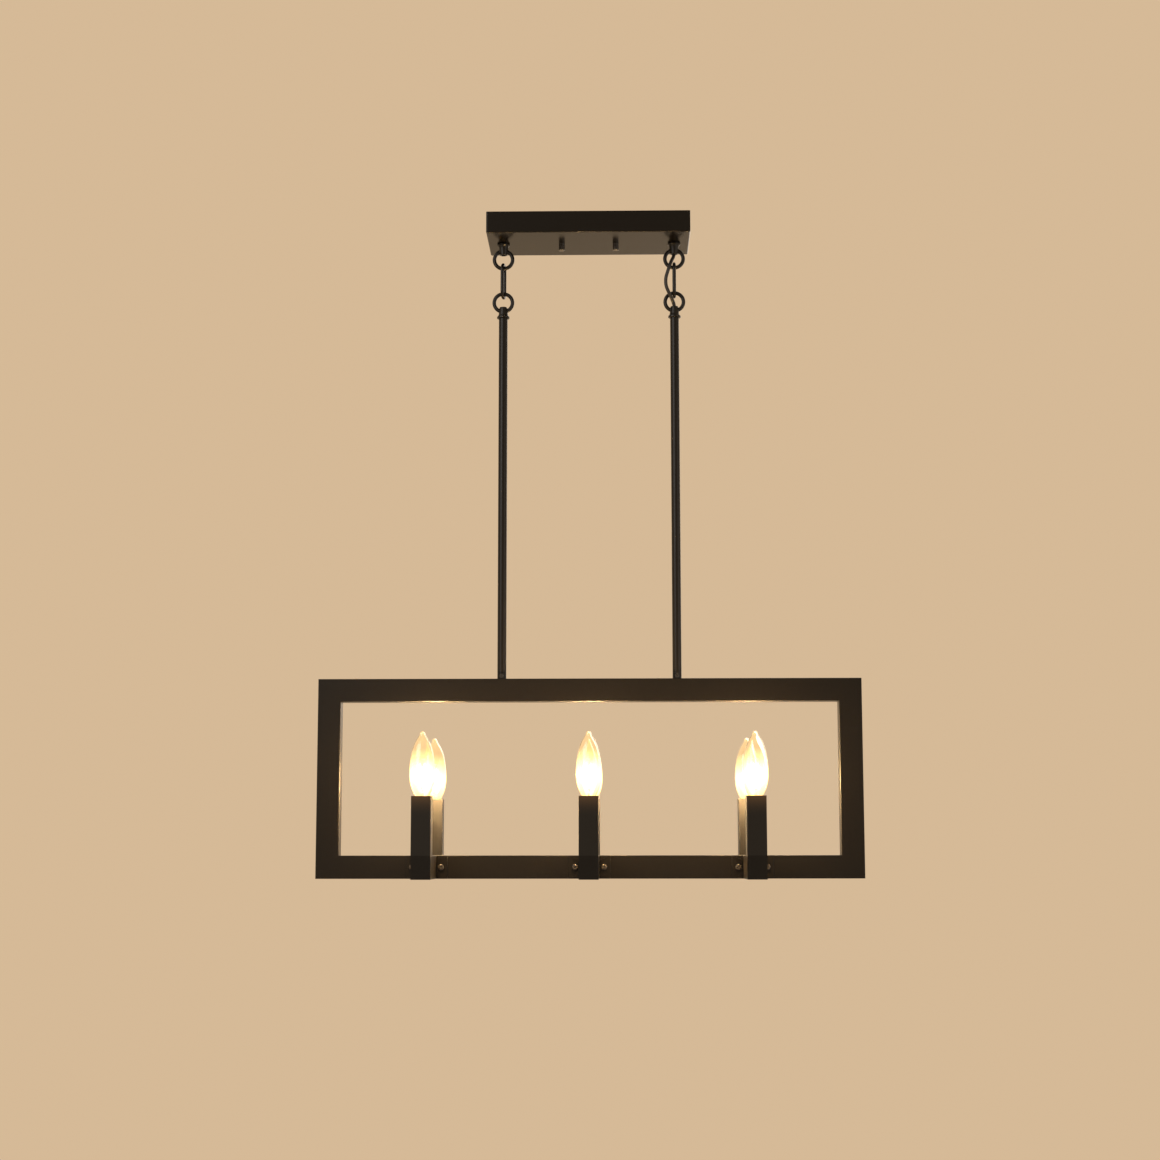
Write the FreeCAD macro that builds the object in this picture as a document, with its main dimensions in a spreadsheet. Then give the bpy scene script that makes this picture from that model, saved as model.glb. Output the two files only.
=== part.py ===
import FreeCAD, Part

# Linear island pendant, six candle lights on one rectangular steel frame, hung from a
# canopy by two rods and two chain links.
# Millimetres, +Z up, X along the frame, -Y is the front. The origin is the centre of the
# ceiling plane, on which the canopy's rim sits. The lamp hangs down to negative Z.
import math
import os
import re

import Sketcher
from FreeCAD import Placement, Rotation, Vector

doc = FreeCAD.newDocument("IslandPendant")
nodes = []

# ---------------------------------------------------------------- driving sizes
SIZES = {
    # ceiling canopy, a folded steel pan that is open at the top
    "canopy_length": 291,
    "canopy_depth": 114,
    "canopy_height": 31,
    "canopy_wall": 1.2,
    "canopy_edge_radius": 1.8,
    # crossed straps that hold the canopy to the ceiling's outlet box
    "strap_width": 20,
    "strap_thickness": 1.6,
    "ceiling_strap_length": 104,
    "canopy_strap_length": 100,
    "box_slot_spacing": 79.4,
    "box_slot_length": 14.6,
    "box_slot_width": 5,
    "eyelet_diameter": 8,
    "eyelet_lip": 1,
    "stud_spacing": 78,
    "stud_diameter": 3.9,
    "stud_hole_diameter": 4.4,
    "stud_nut_flats": 7,
    "stud_nut_height": 3.2,
    "cap_nut_diameter": 8.7,
    "cap_nut_height": 10,
    "cap_nut_floor": 2.5,
    "cap_nut_edge": 1,
    "ground_screw_place": 24,
    "ground_screw_diameter": 7.4,
    "ground_screw_head": 2.4,
    # cast loops, one pair under the canopy and one pair on the rods
    "loop_inset": 22,
    "loop_reach": 23.4,
    "loop_ring_radius": 13.2,
    "loop_wire": 5.4,
    "loop_flange_diameter": 18.2,
    "loop_flange_height": 2.6,
    "loop_collar_diameter": 15.2,
    "loop_collar_height": 1.8,
    "loop_neck_diameter": 14,
    "loop_neck_tip_diameter": 10.8,
    "loop_neck_tip_gap": 6.8,
    "loop_stem_length": 14,
    "thread_diameter": 9.8,
    "wire_bore": 6.4,
    "thread_clearance": 0.05,
    "nut_flange_diameter": 20,
    "nut_flange_height": 1.6,
    "nut_flats": 15,
    "nut_height": 6.4,
    # chain links, bent from round wire
    "link_wire": 4.8,
    "link_inner_length": 43.6,
    "link_inner_width": 13,
    "link_seam": 0.4,
    "link_play": 0.3,
    "left_link_turn": 9,
    # rods, the stubs that carry the frame, and the set screws in the stubs
    "rod_diameter": 12.7,
    "rod_bore": 10,
    "rod_length": 513,
    "rod_joint_edge": 0.4,
    "stub_height": 9,
    "stem_in_rod": 14,
    "stem_in_frame": 4,
    "set_screw_diameter": 6,
    "set_screw_proud": 0.8,
    "set_screw_flats": 3,
    "set_screw_socket_depth": 1.6,
    # rectangular frame of mitred steel tube
    "frame_length": 762,
    "frame_height": 278,
    "tube_face": 32,
    "tube_depth": 25,
    "tube_wall": 1.5,
    "tube_edge_radius": 0.9,
    # candle arms, screwed to the bottom bar
    "station_spacing": 226,
    "candle_reach": 91,
    "sleeve_width": 27,
    "sleeve_wall": 1.2,
    "sleeve_height": 80,
    "sleeve_edge_radius": 0.7,
    "arm_wall": 1.5,
    "plate_width": 58,
    "plate_thickness": 2,
    "wire_hole_diameter": 8,
    "arm_screw_spacing": 40,
    "screw_head_diameter": 8.4,
    "screw_head_height": 2.8,
    "screw_head_edge": 1.2,
    "screw_diameter": 3.9,
    "screw_length": 7,
    "screw_clearance": 0.3,
    "screw_cross_length": 4.6,
    "screw_cross_width": 0.9,
    "screw_cross_depth": 1.4,
    # lamp holders inside the sleeves
    "socket_diameter": 20,
    "socket_height": 45,
    "nipple_in_socket": 8,
    "nipple_in_arm": 4,
    "locating_plate": 24.2,
    "locating_plate_thickness": 2,
    # candle bulbs with a screw base
    "bulb_diameter": 35,
    "bulb_glass_height": 96,
    "bulb_sunk": 8,
    "bulb_glass_wall": 0.9,
    "bulb_base_diameter": 11.7,
    "bulb_base_height": 17,
    "bulb_base_collar": 1.6,
    "bulb_insulator_diameter": 9,
    "bulb_insulator_height": 1.6,
    "bulb_contact_diameter": 4.5,
    "bulb_contact_height": 1.4,
    "bulb_play": 0.3,
    "filament_stem_diameter": 5,
    "filament_stem_height": 16,
    "filament_diameter": 1.6,
    "filament_height": 42,
    "filament_foot_radius": 1.6,
    "filament_head_radius": 5.2,
    # wiring
    "cord_diameter": 5,
    "cord_in_neck": 4,
    "branch_wire_diameter": 3.2,
    "harness_bend": 8,
    "branch_bend": 6,
    "lead_height": 10,
    "wire_nut_to_strap": 1.5,
    "wire_nut_length": 20,
    "wire_nut_mouth_diameter": 9.6,
    "wire_nut_tip_diameter": 7,
    "wire_nut_spacing": 10.4,
}

sheet = doc.addObject("Spreadsheet::Sheet", "Sizes")
for row, (alias, value) in enumerate(SIZES.items(), start=1):
    sheet.set("A%d" % row, alias)
    sheet.set("B%d" % row, str(value))
    sheet.setAlias("B%d" % row, alias)
doc.recompute()


def spelled(words):
    """An expression for words, in which each size is looked up in the spreadsheet."""
    def lookup(match):
        return "Sizes." + match.group() if match.group() in SIZES else match.group()
    return re.sub(r"[a-z][a-z_]*", lookup, str(words))


def size(words):
    """The number that words come to, for the few shapes made with Part's own functions."""
    def lookup(match):
        return repr(float(sheet.get(match.group()))) if match.group() in SIZES else match.group()
    numbers = re.sub(r"[a-z][a-z_]*", lookup, words)
    return doc.Sizes.evalExpression(numbers)


# ---------------------------------------------------------------- levels, from the ceiling down
RUNNING_PITCH = "(link_inner_length - loop_wire - 2 * link_play)"
UPPER_SEAT = "(-canopy_height)"
UPPER_RING = "(%s - loop_reach)" % UPPER_SEAT
UPPER_PIVOT = "(%s - loop_ring_radius)" % UPPER_RING
LOWER_PIVOT = "(%s - %s)" % (UPPER_PIVOT, RUNNING_PITCH)
LOWER_RING = "(%s - loop_ring_radius)" % LOWER_PIVOT
ROD_TOP = "(%s - loop_reach)" % LOWER_RING
ROD_FOOT = "(%s - rod_length)" % ROD_TOP
FRAME_TOP = "(%s - stub_height)" % ROD_FOOT
FRAME_MIDDLE = "(%s - frame_height / 2)" % FRAME_TOP
FRAME_BOTTOM = "(%s - frame_height)" % FRAME_TOP
BAR_MIDDLE = "(%s + tube_face / 2)" % FRAME_BOTTOM
ARM_TOP = "(%s + tube_face)" % FRAME_BOTTOM
SLEEVE_TOP = "(%s + sleeve_height)" % ARM_TOP
GLASS_FOOT = "(%s - bulb_sunk)" % SLEEVE_TOP
SOCKET_TOP = "(%s - bulb_play)" % GLASS_FOOT
SOCKET_FOOT = "(%s - socket_height)" % SOCKET_TOP
ROD_PLACE = "(canopy_length / 2 - loop_inset)"
WIRE_NUT_MOUTH = "(canopy_strap_length / 2 + wire_nut_to_strap + wire_nut_length)"
CORD_TOP = "(%s + loop_neck_tip_gap + cord_in_neck)" % UPPER_RING
CORD_FOOT = "(%s - loop_neck_tip_gap - cord_in_neck)" % LOWER_RING
PLATE_FRONT = "(tube_depth / 2 + plate_thickness)"
ARM_END = "(candle_reach + sleeve_width / 2)"
THREAD_HOLE = "(thread_diameter / 2 + thread_clearance)"
CANOPY_FLOOR = "(-canopy_height + canopy_wall)"


# ---------------------------------------------------------------- small helpers
def bind(thing, **sizes):
    """Bind properties to the sheet; two underscores stand for a dot in the property's name."""
    for name, words in sizes.items():
        thing.setExpression(name.replace("__", "."), spelled(words))
    return thing


def put(thing, x=0, y=0, z=0):
    """Place a thing by expressions, and leave its rotation alone."""
    return bind(thing, Placement__Base__x=x, Placement__Base__y=y, Placement__Base__z=z)


ALONG = {
    "-x": Rotation(Vector(0, 1, 0), -90),
    "y": Rotation(Vector(1, 0, 0), -90),
    "-y": Rotation(Vector(1, 0, 0), 90),
    "z": Rotation(),
    "-z": Rotation(Vector(1, 0, 0), 180),
}


def box(name, length, width, height, x=0, y=0, z=0):
    """A box centred on x and y, standing on z."""
    solid = doc.addObject("Part::Box", name)
    bind(solid, Length=length, Width=width, Height=height)
    return put(solid, "%s - (%s) / 2" % (x, length), "%s - (%s) / 2" % (y, width), z)


def cylinder(name, diameter, height, x=0, y=0, z=0, along="z"):
    solid = doc.addObject("Part::Cylinder", name)
    solid.Placement = Placement(Vector(), ALONG[along])
    bind(solid, Radius="(%s) / 2" % diameter, Height=height)
    return put(solid, x, y, z)


def cone(name, foot_diameter, tip_diameter, height, x=0, y=0, z=0, along="z"):
    solid = doc.addObject("Part::Cone", name)
    solid.Placement = Placement(Vector(), ALONG[along])
    bind(solid, Radius1="(%s) / 2" % foot_diameter, Radius2="(%s) / 2" % tip_diameter, Height=height)
    return put(solid, x, y, z)


def hexagon(name, flats, height, x=0, y=0, z=0, along="z"):
    solid = doc.addObject("Part::Prism", name)
    solid.Polygon = 6
    solid.Placement = Placement(Vector(), ALONG[along])
    bind(solid, Circumradius="(%s) / 2 / cos(30)" % flats, Height=height)
    return put(solid, x, y, z)


def fuse(name, *solids):
    joined = doc.addObject("Part::MultiFuse", name)
    joined.Shapes = list(solids)
    joined.Refine = True
    return joined


def cut(name, base, *tools):
    result = base
    for number, tool in enumerate(tools, start=1):
        last = number == len(tools)
        step = doc.addObject("Part::Cut", name if last else "%s_cut%d" % (name, number))
        step.Base = result
        step.Tool = tool
        result = step
    return result


def rounded(name, base, radius, wanted):
    """The base with the wanted edges rounded; wanted is a test of an edge."""
    doc.recompute()
    soft = doc.addObject("Part::Fillet", name)
    soft.Base = base
    value = size(radius)
    edges = enumerate(base.Shape.Edges, start=1)
    soft.Edges = [(number, value, value) for number, edge in edges if wanted(edge)]
    return soft


def group(name, solids):
    several = doc.addObject("Part::Compound", name)
    several.Links = list(solids)
    return several


def node(name, thing):
    """Name a finished sub-part."""
    thing.Label = name
    nodes.append(thing)
    return thing


def direction(edge):
    """The direction of a straight edge, or None for a curve."""
    if not isinstance(edge.Curve, Part.Line):
        return None
    return edge.tangentAt(edge.FirstParameter)


def rim_at(height, diameter):
    """A test for the circle of a diameter that lies at a height."""
    def wanted(edge):
        if not isinstance(edge.Curve, Part.Circle):
            return False
        off = edge.Curve.Center.z - size(height), edge.Curve.Radius - size(diameter) / 2
        return max(abs(off[0]), abs(off[1])) < 1e-6
    return wanted


def runs_along(edge, axis):
    heading = direction(edge)
    return heading is not None and abs(abs(heading.dot(axis)) - 1) < 1e-6


def flat_sketch(body, name, plane="XY_Plane"):
    sketch = body.newObject("Sketcher::SketchObject", name)
    origin_plane = [f for f in body.Origin.OriginFeatures if f.Role == plane][0]
    sketch.AttachmentSupport = (origin_plane, "")
    sketch.MapMode = "FlatFace"
    return sketch


def measure(sketch, label, words, *constraint):
    """Add a named dimension to a sketch and bind it to the sheet."""
    number = sketch.addConstraint(Sketcher.Constraint(*constraint))
    sketch.renameConstraint(number, label)
    sketch.setExpression("Constraints." + label, spelled(words))


def draw_rectangle(sketch, label, width, height):
    """A rectangle centred on the sketch's origin."""
    half_w = size("(%s) / 2" % width)
    half_h = size("(%s) / 2" % height)
    corners = [Vector(-half_w, -half_h), Vector(half_w, -half_h)]
    corners += [Vector(half_w, half_h), Vector(-half_w, half_h)]
    sides = []
    for start, end in zip(corners, corners[1:] + corners[:1]):
        sides.append(sketch.addGeometry(Part.LineSegment(start, end), False))
    for side, following in zip(sides, sides[1:] + sides[:1]):
        sketch.addConstraint(Sketcher.Constraint("Coincident", side, 2, following, 1))
    for side in sides[::2]:
        sketch.addConstraint(Sketcher.Constraint("Horizontal", side))
    for side in sides[1::2]:
        sketch.addConstraint(Sketcher.Constraint("Vertical", side))
    sketch.addConstraint(Sketcher.Constraint("Symmetric", sides[0], 1, sides[2], 1, -1, 1))
    measure(sketch, label + "_width", width, "DistanceX", sides[0], 1, sides[0], 2, 2 * half_w)
    measure(sketch, label + "_height", height, "DistanceY", sides[1], 1, sides[1], 2, 2 * half_h)


def draw_circle(sketch, label, diameter, spacing=None):
    """A circle at the origin, or a pair of them spaced along the sketch's X."""
    radius = size("(%s) / 2" % diameter)
    if spacing is None:
        ring = sketch.addGeometry(Part.Circle(Vector(), Vector(0, 0, 1), radius), False)
        sketch.addConstraint(Sketcher.Constraint("Coincident", ring, 3, -1, 1))
        measure(sketch, label + "_diameter", diameter, "Diameter", ring, 2 * radius)
        return
    away = size("(%s) / 2" % spacing)
    right = sketch.addGeometry(Part.Circle(Vector(away, 0), Vector(0, 0, 1), radius), False)
    left = sketch.addGeometry(Part.Circle(Vector(-away, 0), Vector(0, 0, 1), radius), False)
    sketch.addConstraint(Sketcher.Constraint("PointOnObject", right, 3, -1))
    sketch.addConstraint(Sketcher.Constraint("Symmetric", right, 3, left, 3, -1, 1))
    sketch.addConstraint(Sketcher.Constraint("Equal", right, left))
    measure(sketch, label + "_spacing", spacing, "DistanceX", left, 3, right, 3, 2 * away)
    measure(sketch, label + "_diameter", diameter, "Diameter", right, 2 * radius)


def pad(body, sketch, name, length, midplane=False):
    feature = body.newObject("PartDesign::Pad", name)
    feature.Profile = sketch
    feature.Midplane = midplane
    bind(feature, Length=length)
    return feature


def pocket(body, sketch, name, length, midplane=False, upward=False):
    feature = body.newObject("PartDesign::Pocket", name)
    feature.Profile = sketch
    feature.Midplane = midplane
    feature.Reversed = upward
    bind(feature, Length=length)
    return feature


def fillet(body, base, name, radius, wanted):
    """Round the wanted edges of a feature of a body."""
    doc.recompute()
    feature = body.newObject("PartDesign::Fillet", name)
    edges = enumerate(base.Shape.Edges, start=1)
    feature.Base = (base, ["Edge%d" % number for number, edge in edges if wanted(edge)])
    bind(feature, Radius=radius)
    return feature


def round_tube(path_points, radii, diameter):
    """A tube along straight runs that are joined by tangent arcs of the given radii."""
    edges = []
    start = path_points[0]
    for before, corner, after, radius in zip(path_points, path_points[1:], path_points[2:], radii):
        towards = (before - corner).normalize()
        away = (after - corner).normalize()
        half_turn = (math.pi - towards.getAngle(away)) / 2
        set_back = radius * math.tan(half_turn)
        first = corner + towards * set_back
        last = corner + away * set_back
        middle_line = (towards + away).normalize()
        middle = corner + middle_line * (radius / math.cos(half_turn) - radius)
        edges.append(Part.LineSegment(start, first).toShape())
        edges.append(Part.Arc(first, middle, last).toShape())
        start = last
    edges.append(Part.LineSegment(start, path_points[-1]).toShape())
    path = Part.Wire(edges)
    heading = path_points[1] - path_points[0]
    profile = Part.Wire([Part.Circle(path_points[0], heading, diameter / 2).toShape()])
    tube = path.makePipeShell([profile], True, False)
    expected = math.pi * diameter ** 2 / 4 * path.Length
    if abs(tube.Volume / expected - 1) > 0.01:
        raise ValueError("a tube's volume is not its section times its length")
    return tube, path.Length


def made(name, shape):
    """A sub-part whose shape comes from Part's own functions."""
    thing = doc.addObject("Part::Feature", name)
    thing.Shape = shape
    return thing


# ---------------------------------------------------------------- canopy and its fixings
def canopy():
    """A pan open at the top, with holes for the two loops and the two studs."""
    body = doc.addObject("PartDesign::Body", "canopy_body")
    outline = flat_sketch(body, "canopy_outline")
    draw_rectangle(outline, "pan", "canopy_length", "canopy_depth")
    block = pad(body, outline, "canopy_block", "canopy_height")
    doc.recompute()
    fillet(body, block, "canopy_edges", "canopy_edge_radius", below_the_rim)
    hollow_sketch = flat_sketch(body, "canopy_hollow_outline")
    bind(hollow_sketch, AttachmentOffset__Base__z="canopy_height")
    inside = "canopy_%s - 2 * canopy_wall"
    draw_rectangle(hollow_sketch, "hollow", inside % "length", inside % "depth")
    pocket(body, hollow_sketch, "canopy_hollow", "canopy_height - canopy_wall")
    for label, hole, spacing in (
        ("loop", "2 * " + THREAD_HOLE, "2 * " + ROD_PLACE),
        ("stud", "stud_hole_diameter", "stud_spacing"),
    ):
        drill = flat_sketch(body, "canopy_%s_holes" % label)
        draw_circle(drill, label, hole, spacing)
        pocket(body, drill, "canopy_%s_drill" % label, "2 * canopy_wall", upward=True)
    put(body, z=UPPER_SEAT)
    return node("canopy", body)


def below_the_rim(edge):
    """True for an outer edge of the pan that isn't part of its open rim."""
    return min(vertex.Z for vertex in edge.Vertexes) < 1e-6


def straps():
    """A strap for the outlet box along Y, with an eyelet that grips the strap along X."""
    plate = box("ceiling_strap_plate", "strap_width", "ceiling_strap_length", "strap_thickness",
                z="-strap_thickness")
    eyelet = cylinder("strap_eyelet", "eyelet_diameter", "2 * strap_thickness + eyelet_lip",
                      z="-2 * strap_thickness - eyelet_lip")
    lip = cylinder("strap_eyelet_lip", "eyelet_diameter + 2 * eyelet_lip", "eyelet_lip",
                   z="-2 * strap_thickness - eyelet_lip")
    tools = []
    for side, sign in (("front", "-1"), ("rear", "1")):
        middle = "%s * box_slot_spacing / 2" % sign
        straight = "box_slot_length - box_slot_width"
        tools.append(box("slot_%s" % side, "box_slot_width", straight, "3 * strap_thickness",
                         y=middle, z="-2 * strap_thickness"))
        for end in ("-1", "1"):
            tools.append(cylinder("slot_%s_end" % side, "box_slot_width", "3 * strap_thickness",
                                  y="%s + %s * (%s) / 2" % (middle, end, straight),
                                  z="-2 * strap_thickness"))
    body = fuse("ceiling_strap_body", plate, eyelet, lip)
    node("ceiling_strap", cut("ceiling_strap", body, *tools))

    plate = box("canopy_strap_plate", "canopy_strap_length", "strap_width", "strap_thickness",
                z="-2 * strap_thickness")
    tools = [cylinder("eyelet_hole", "eyelet_diameter + 2 * thread_clearance",
                      "3 * strap_thickness", z="-3 * strap_thickness")]
    for sign in ("-1", "1"):
        tools.append(cylinder("stud_hole", "stud_diameter + 2 * thread_clearance",
                              "3 * strap_thickness", x="%s * stud_spacing / 2" % sign,
                              z="-3 * strap_thickness"))
    tools.append(cylinder("ground_hole", "stud_diameter + 2 * thread_clearance",
                          "3 * strap_thickness", x="-ground_screw_place",
                          z="-3 * strap_thickness"))
    node("canopy_strap", cut("canopy_strap", plate, *tools))


def canopy_fixings():
    """Two studs, the nuts that lock them to the strap, and the cap nuts under the canopy."""
    studs, lock_nuts, cap_nuts = [], [], []
    stud_length = "canopy_height - strap_thickness + cap_nut_height - cap_nut_floor - thread_clearance"
    for sign in ("-1", "1"):
        x = "%s * stud_spacing / 2" % sign
        studs.append(cylinder("stud", "stud_diameter", stud_length, x, z="-strap_thickness",
                              along="-z"))
        nut = hexagon("stud_nut_hex", "stud_nut_flats", "stud_nut_height", x,
                      z="-2 * strap_thickness - stud_nut_height")
        hole = cylinder("stud_nut_hole", "stud_diameter + 2 * thread_clearance",
                        "3 * stud_nut_height", x, z="-2 * strap_thickness - 2 * stud_nut_height")
        lock_nuts.append(cut("stud_nut", nut, hole))
        cap = cylinder("cap_nut_blank", "cap_nut_diameter", "cap_nut_height", x, z=UPPER_SEAT,
                       along="-z")
        soft = rounded("cap_nut_rounded", cap, "cap_nut_edge", is_lower_rim)
        bore = cylinder("cap_nut_bore", "stud_diameter + 2 * thread_clearance",
                        "cap_nut_height - cap_nut_floor", x, z=UPPER_SEAT, along="-z")
        cap_nuts.append(cut("cap_nut", soft, bore))
    node("canopy_studs", group("canopy_studs", studs))
    node("stud_nuts", group("stud_nuts", lock_nuts))
    node("cap_nuts", group("cap_nuts", cap_nuts))


def is_lower_rim(edge):
    """True for the circle round the lower end of a cap nut."""
    lowest = size(UPPER_SEAT) - size("cap_nut_height")
    return isinstance(edge.Curve, Part.Circle) and abs(edge.Curve.Center.z - lowest) < 1e-6


def ground_screw():
    head = cylinder("ground_screw_head", "ground_screw_diameter", "ground_screw_head",
                    x="-ground_screw_place", z="-2 * strap_thickness - ground_screw_head")
    shank = cylinder("ground_screw_shank", "stud_diameter", "ground_screw_head + 2 * strap_thickness",
                     x="-ground_screw_place", z="-2 * strap_thickness - ground_screw_head")
    slot = box("ground_screw_slot", "ground_screw_diameter", "screw_cross_width",
               "screw_cross_depth", x="-ground_screw_place",
               z="-2 * strap_thickness - ground_screw_head")
    node("ground_screw", cut("ground_screw", fuse("ground_screw_body", head, shank), slot))


# ---------------------------------------------------------------- loops, links and rods
def loop(name, x, seat, facing):
    """A cast loop: threaded stem, flange, collar, tapered neck and ring, bored for the cord."""
    rise = {"down": "-z", "up": "z"}[facing]
    sign = {"down": "-", "up": "+"}[facing]
    back = {"down": "z", "up": "-z"}[facing]
    collar_seat = "%s %s loop_flange_height" % (seat, sign)
    neck_seat = "%s %s loop_collar_height" % (collar_seat, sign)
    neck = "loop_reach - loop_neck_tip_gap - loop_flange_height - loop_collar_height"
    ring = doc.addObject("Part::Torus", name + "_ring")
    ring.Placement = Placement(Vector(), ALONG["y"])
    bind(ring, Radius1="loop_ring_radius", Radius2="loop_wire / 2")
    put(ring, x, 0, "%s %s loop_reach" % (seat, sign))
    pieces = [
        cylinder(name + "_stem", "thread_diameter", "loop_stem_length", x, z=seat, along=back),
        cylinder(name + "_flange", "loop_flange_diameter", "loop_flange_height", x, z=seat,
                 along=rise),
        cylinder(name + "_collar", "loop_collar_diameter", "loop_collar_height", x, z=collar_seat,
                 along=rise),
        cone(name + "_neck", "loop_neck_diameter", "loop_neck_tip_diameter", neck, x, z=neck_seat,
             along=rise),
        ring,
    ]
    bore = cylinder(name + "_bore", "wire_bore", "loop_stem_length + loop_reach - loop_neck_tip_gap",
                    x, z="%s %s (loop_reach - loop_neck_tip_gap)" % (seat, sign), along=back)
    return node(name, cut(name, fuse(name + "_body", *pieces), bore))


def loop_nuts():
    """A flanged nut on each stem, inside the canopy."""
    nuts = []
    for sign in ("-1", "1"):
        x = "%s * %s" % (sign, ROD_PLACE)
        flange = cylinder("loop_nut_flange", "nut_flange_diameter", "nut_flange_height", x,
                          z=CANOPY_FLOOR)
        flats = hexagon("loop_nut_hex", "nut_flats", "nut_height", x, z=CANOPY_FLOOR)
        hole = cylinder("loop_nut_hole", "2 * " + THREAD_HOLE, "3 * nut_height", x,
                        z=CANOPY_FLOOR + " - nut_height")
        nuts.append(cut("loop_nut", fuse("loop_nut_body", flange, flats), hole))
    node("loop_nuts", group("loop_nuts", nuts))


def link(name, x, turn):
    """A long oval link of round wire, whose ends meet at a seam in its rear leg."""
    end_radius = "(link_inner_width + link_wire) / 2"
    leg = "link_inner_length - link_inner_width"
    middle = "(%s + %s) / 2" % (UPPER_PIVOT, LOWER_PIVOT)
    pieces = []
    for end, sign in (("top", "+"), ("bottom", "-")):
        bend = doc.addObject("Part::Torus", "%s_%s" % (name, end))
        bend.Angle3 = 180
        bend.Placement.Rotation = half_ring(sign)
        bind(bend, Radius1=end_radius, Radius2="link_wire / 2")
        pieces.append(put(bend, 0, 0, "%s (%s) / 2" % (sign, leg)))
    for side, sign in (("front", "-"), ("rear", "")):
        pieces.append(cylinder("%s_%s_leg" % (name, side), "link_wire", leg,
                               y="%s%s" % (sign, end_radius), z="-(%s) / 2" % leg))
    seam = box(name + "_seam", "2 * link_wire", "2 * link_wire", "link_seam",
               y=end_radius, z="-link_seam / 2")
    whole = cut(name, fuse(name + "_body", *pieces), seam)
    whole.Placement = Placement(Vector(), Rotation(Vector(0, 0, 1), 1))
    bind(whole, Placement__Rotation__Angle=turn)
    put(whole, x, 0, middle)
    return node(name, whole)


def half_ring(sign):
    """The turn that puts a half torus in the YZ plane, arching up or down."""
    into_plane = Rotation(Vector(0, 1, 0), 90)
    arch = {"+": 90, "-": -90}[sign]
    return Rotation(Vector(1, 0, 0), arch).multiply(into_plane)


def rod(name, x):
    body = doc.addObject("PartDesign::Body", name + "_body")
    section = flat_sketch(body, name + "_section")
    draw_circle(section, "outer", "rod_diameter")
    draw_circle(section, "bore", "rod_bore")
    tube = pad(body, section, name + "_tube", "rod_length")
    fillet(body, tube, name + "_edge", "rod_joint_edge", rim_at("0", "rod_diameter"))
    put(body, x, 0, ROD_FOOT)
    return node(name, body)


def rod_fixings():
    """Stubs welded on the frame, the threaded stems in them, and the set screws."""
    stubs, stems, screws = [], [], []
    for sign in ("-1", "1"):
        x = "%s * %s" % (sign, ROD_PLACE)
        level = FRAME_TOP + " + stub_height / 2"
        blank = cylinder("stub_blank", "rod_diameter", "stub_height", x, z=FRAME_TOP)
        ring = rounded("stub_ring", blank, "rod_joint_edge", rim_at(ROD_FOOT, "rod_diameter"))
        bore = cylinder("stub_bore", "2 * " + THREAD_HOLE, "3 * stub_height", x,
                        z=FRAME_TOP + " - stub_height")
        screw_hole = cylinder("stub_screw_hole", "set_screw_diameter + 2 * thread_clearance",
                              "rod_diameter", x, z=level, along="-y")
        stubs.append(cut("stub", ring, bore, screw_hole))
        length = "stem_in_frame + stub_height + stem_in_rod"
        foot = FRAME_TOP + " - stem_in_frame"
        stem = cylinder("stem_blank", "thread_diameter", length, x, z=foot)
        bore = cylinder("stem_bore", "wire_bore", "3 * (%s)" % length, x,
                        z="%s - (%s)" % (foot, length))
        stems.append(cut("stem", stem, bore))
        grub = cylinder("set_screw_blank", "set_screw_diameter",
                        "rod_diameter / 2 + set_screw_proud - %s" % THREAD_HOLE, x,
                        "-" + THREAD_HOLE, level, along="-y")
        socket = hexagon("set_screw_socket", "set_screw_flats", "set_screw_socket_depth", x,
                         "-rod_diameter / 2 - set_screw_proud", level, along="y")
        screws.append(cut("set_screw", grub, socket))
    node("rod_stubs", group("rod_stubs", stubs))
    node("rod_stems", group("rod_stems", stems))
    node("rod_set_screws", group("rod_set_screws", screws))


# ---------------------------------------------------------------- frame
def mitred_tube(name, length, turn, x, z):
    """A tube cut at 45 degrees at both ends. Its long outer side lies on the body's X axis."""
    body = doc.addObject("PartDesign::Body", name + "_body")
    for label, inset, depth in (
        ("outer", "0", "tube_depth"),
        ("hollow", "tube_wall", "tube_depth - 2 * tube_wall"),
    ):
        sketch = flat_sketch(body, "%s_%s" % (name, label), "XZ_Plane")
        draw_trapezium(sketch, length, inset)
        if label == "outer":
            bar = pad(body, sketch, name + "_bar", depth, midplane=True)
            doc.recompute()
            fillet(body, bar, name + "_edges", "tube_edge_radius", along_the_bar)
        else:
            pocket(body, sketch, name + "_inside", depth, midplane=True)
    body.Placement = Placement(Vector(), Rotation(Vector(0, 1, 0), turn))
    put(body, x, 0, z)
    return body


def along_the_bar(edge):
    return runs_along(edge, Vector(1, 0, 0))


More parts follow.
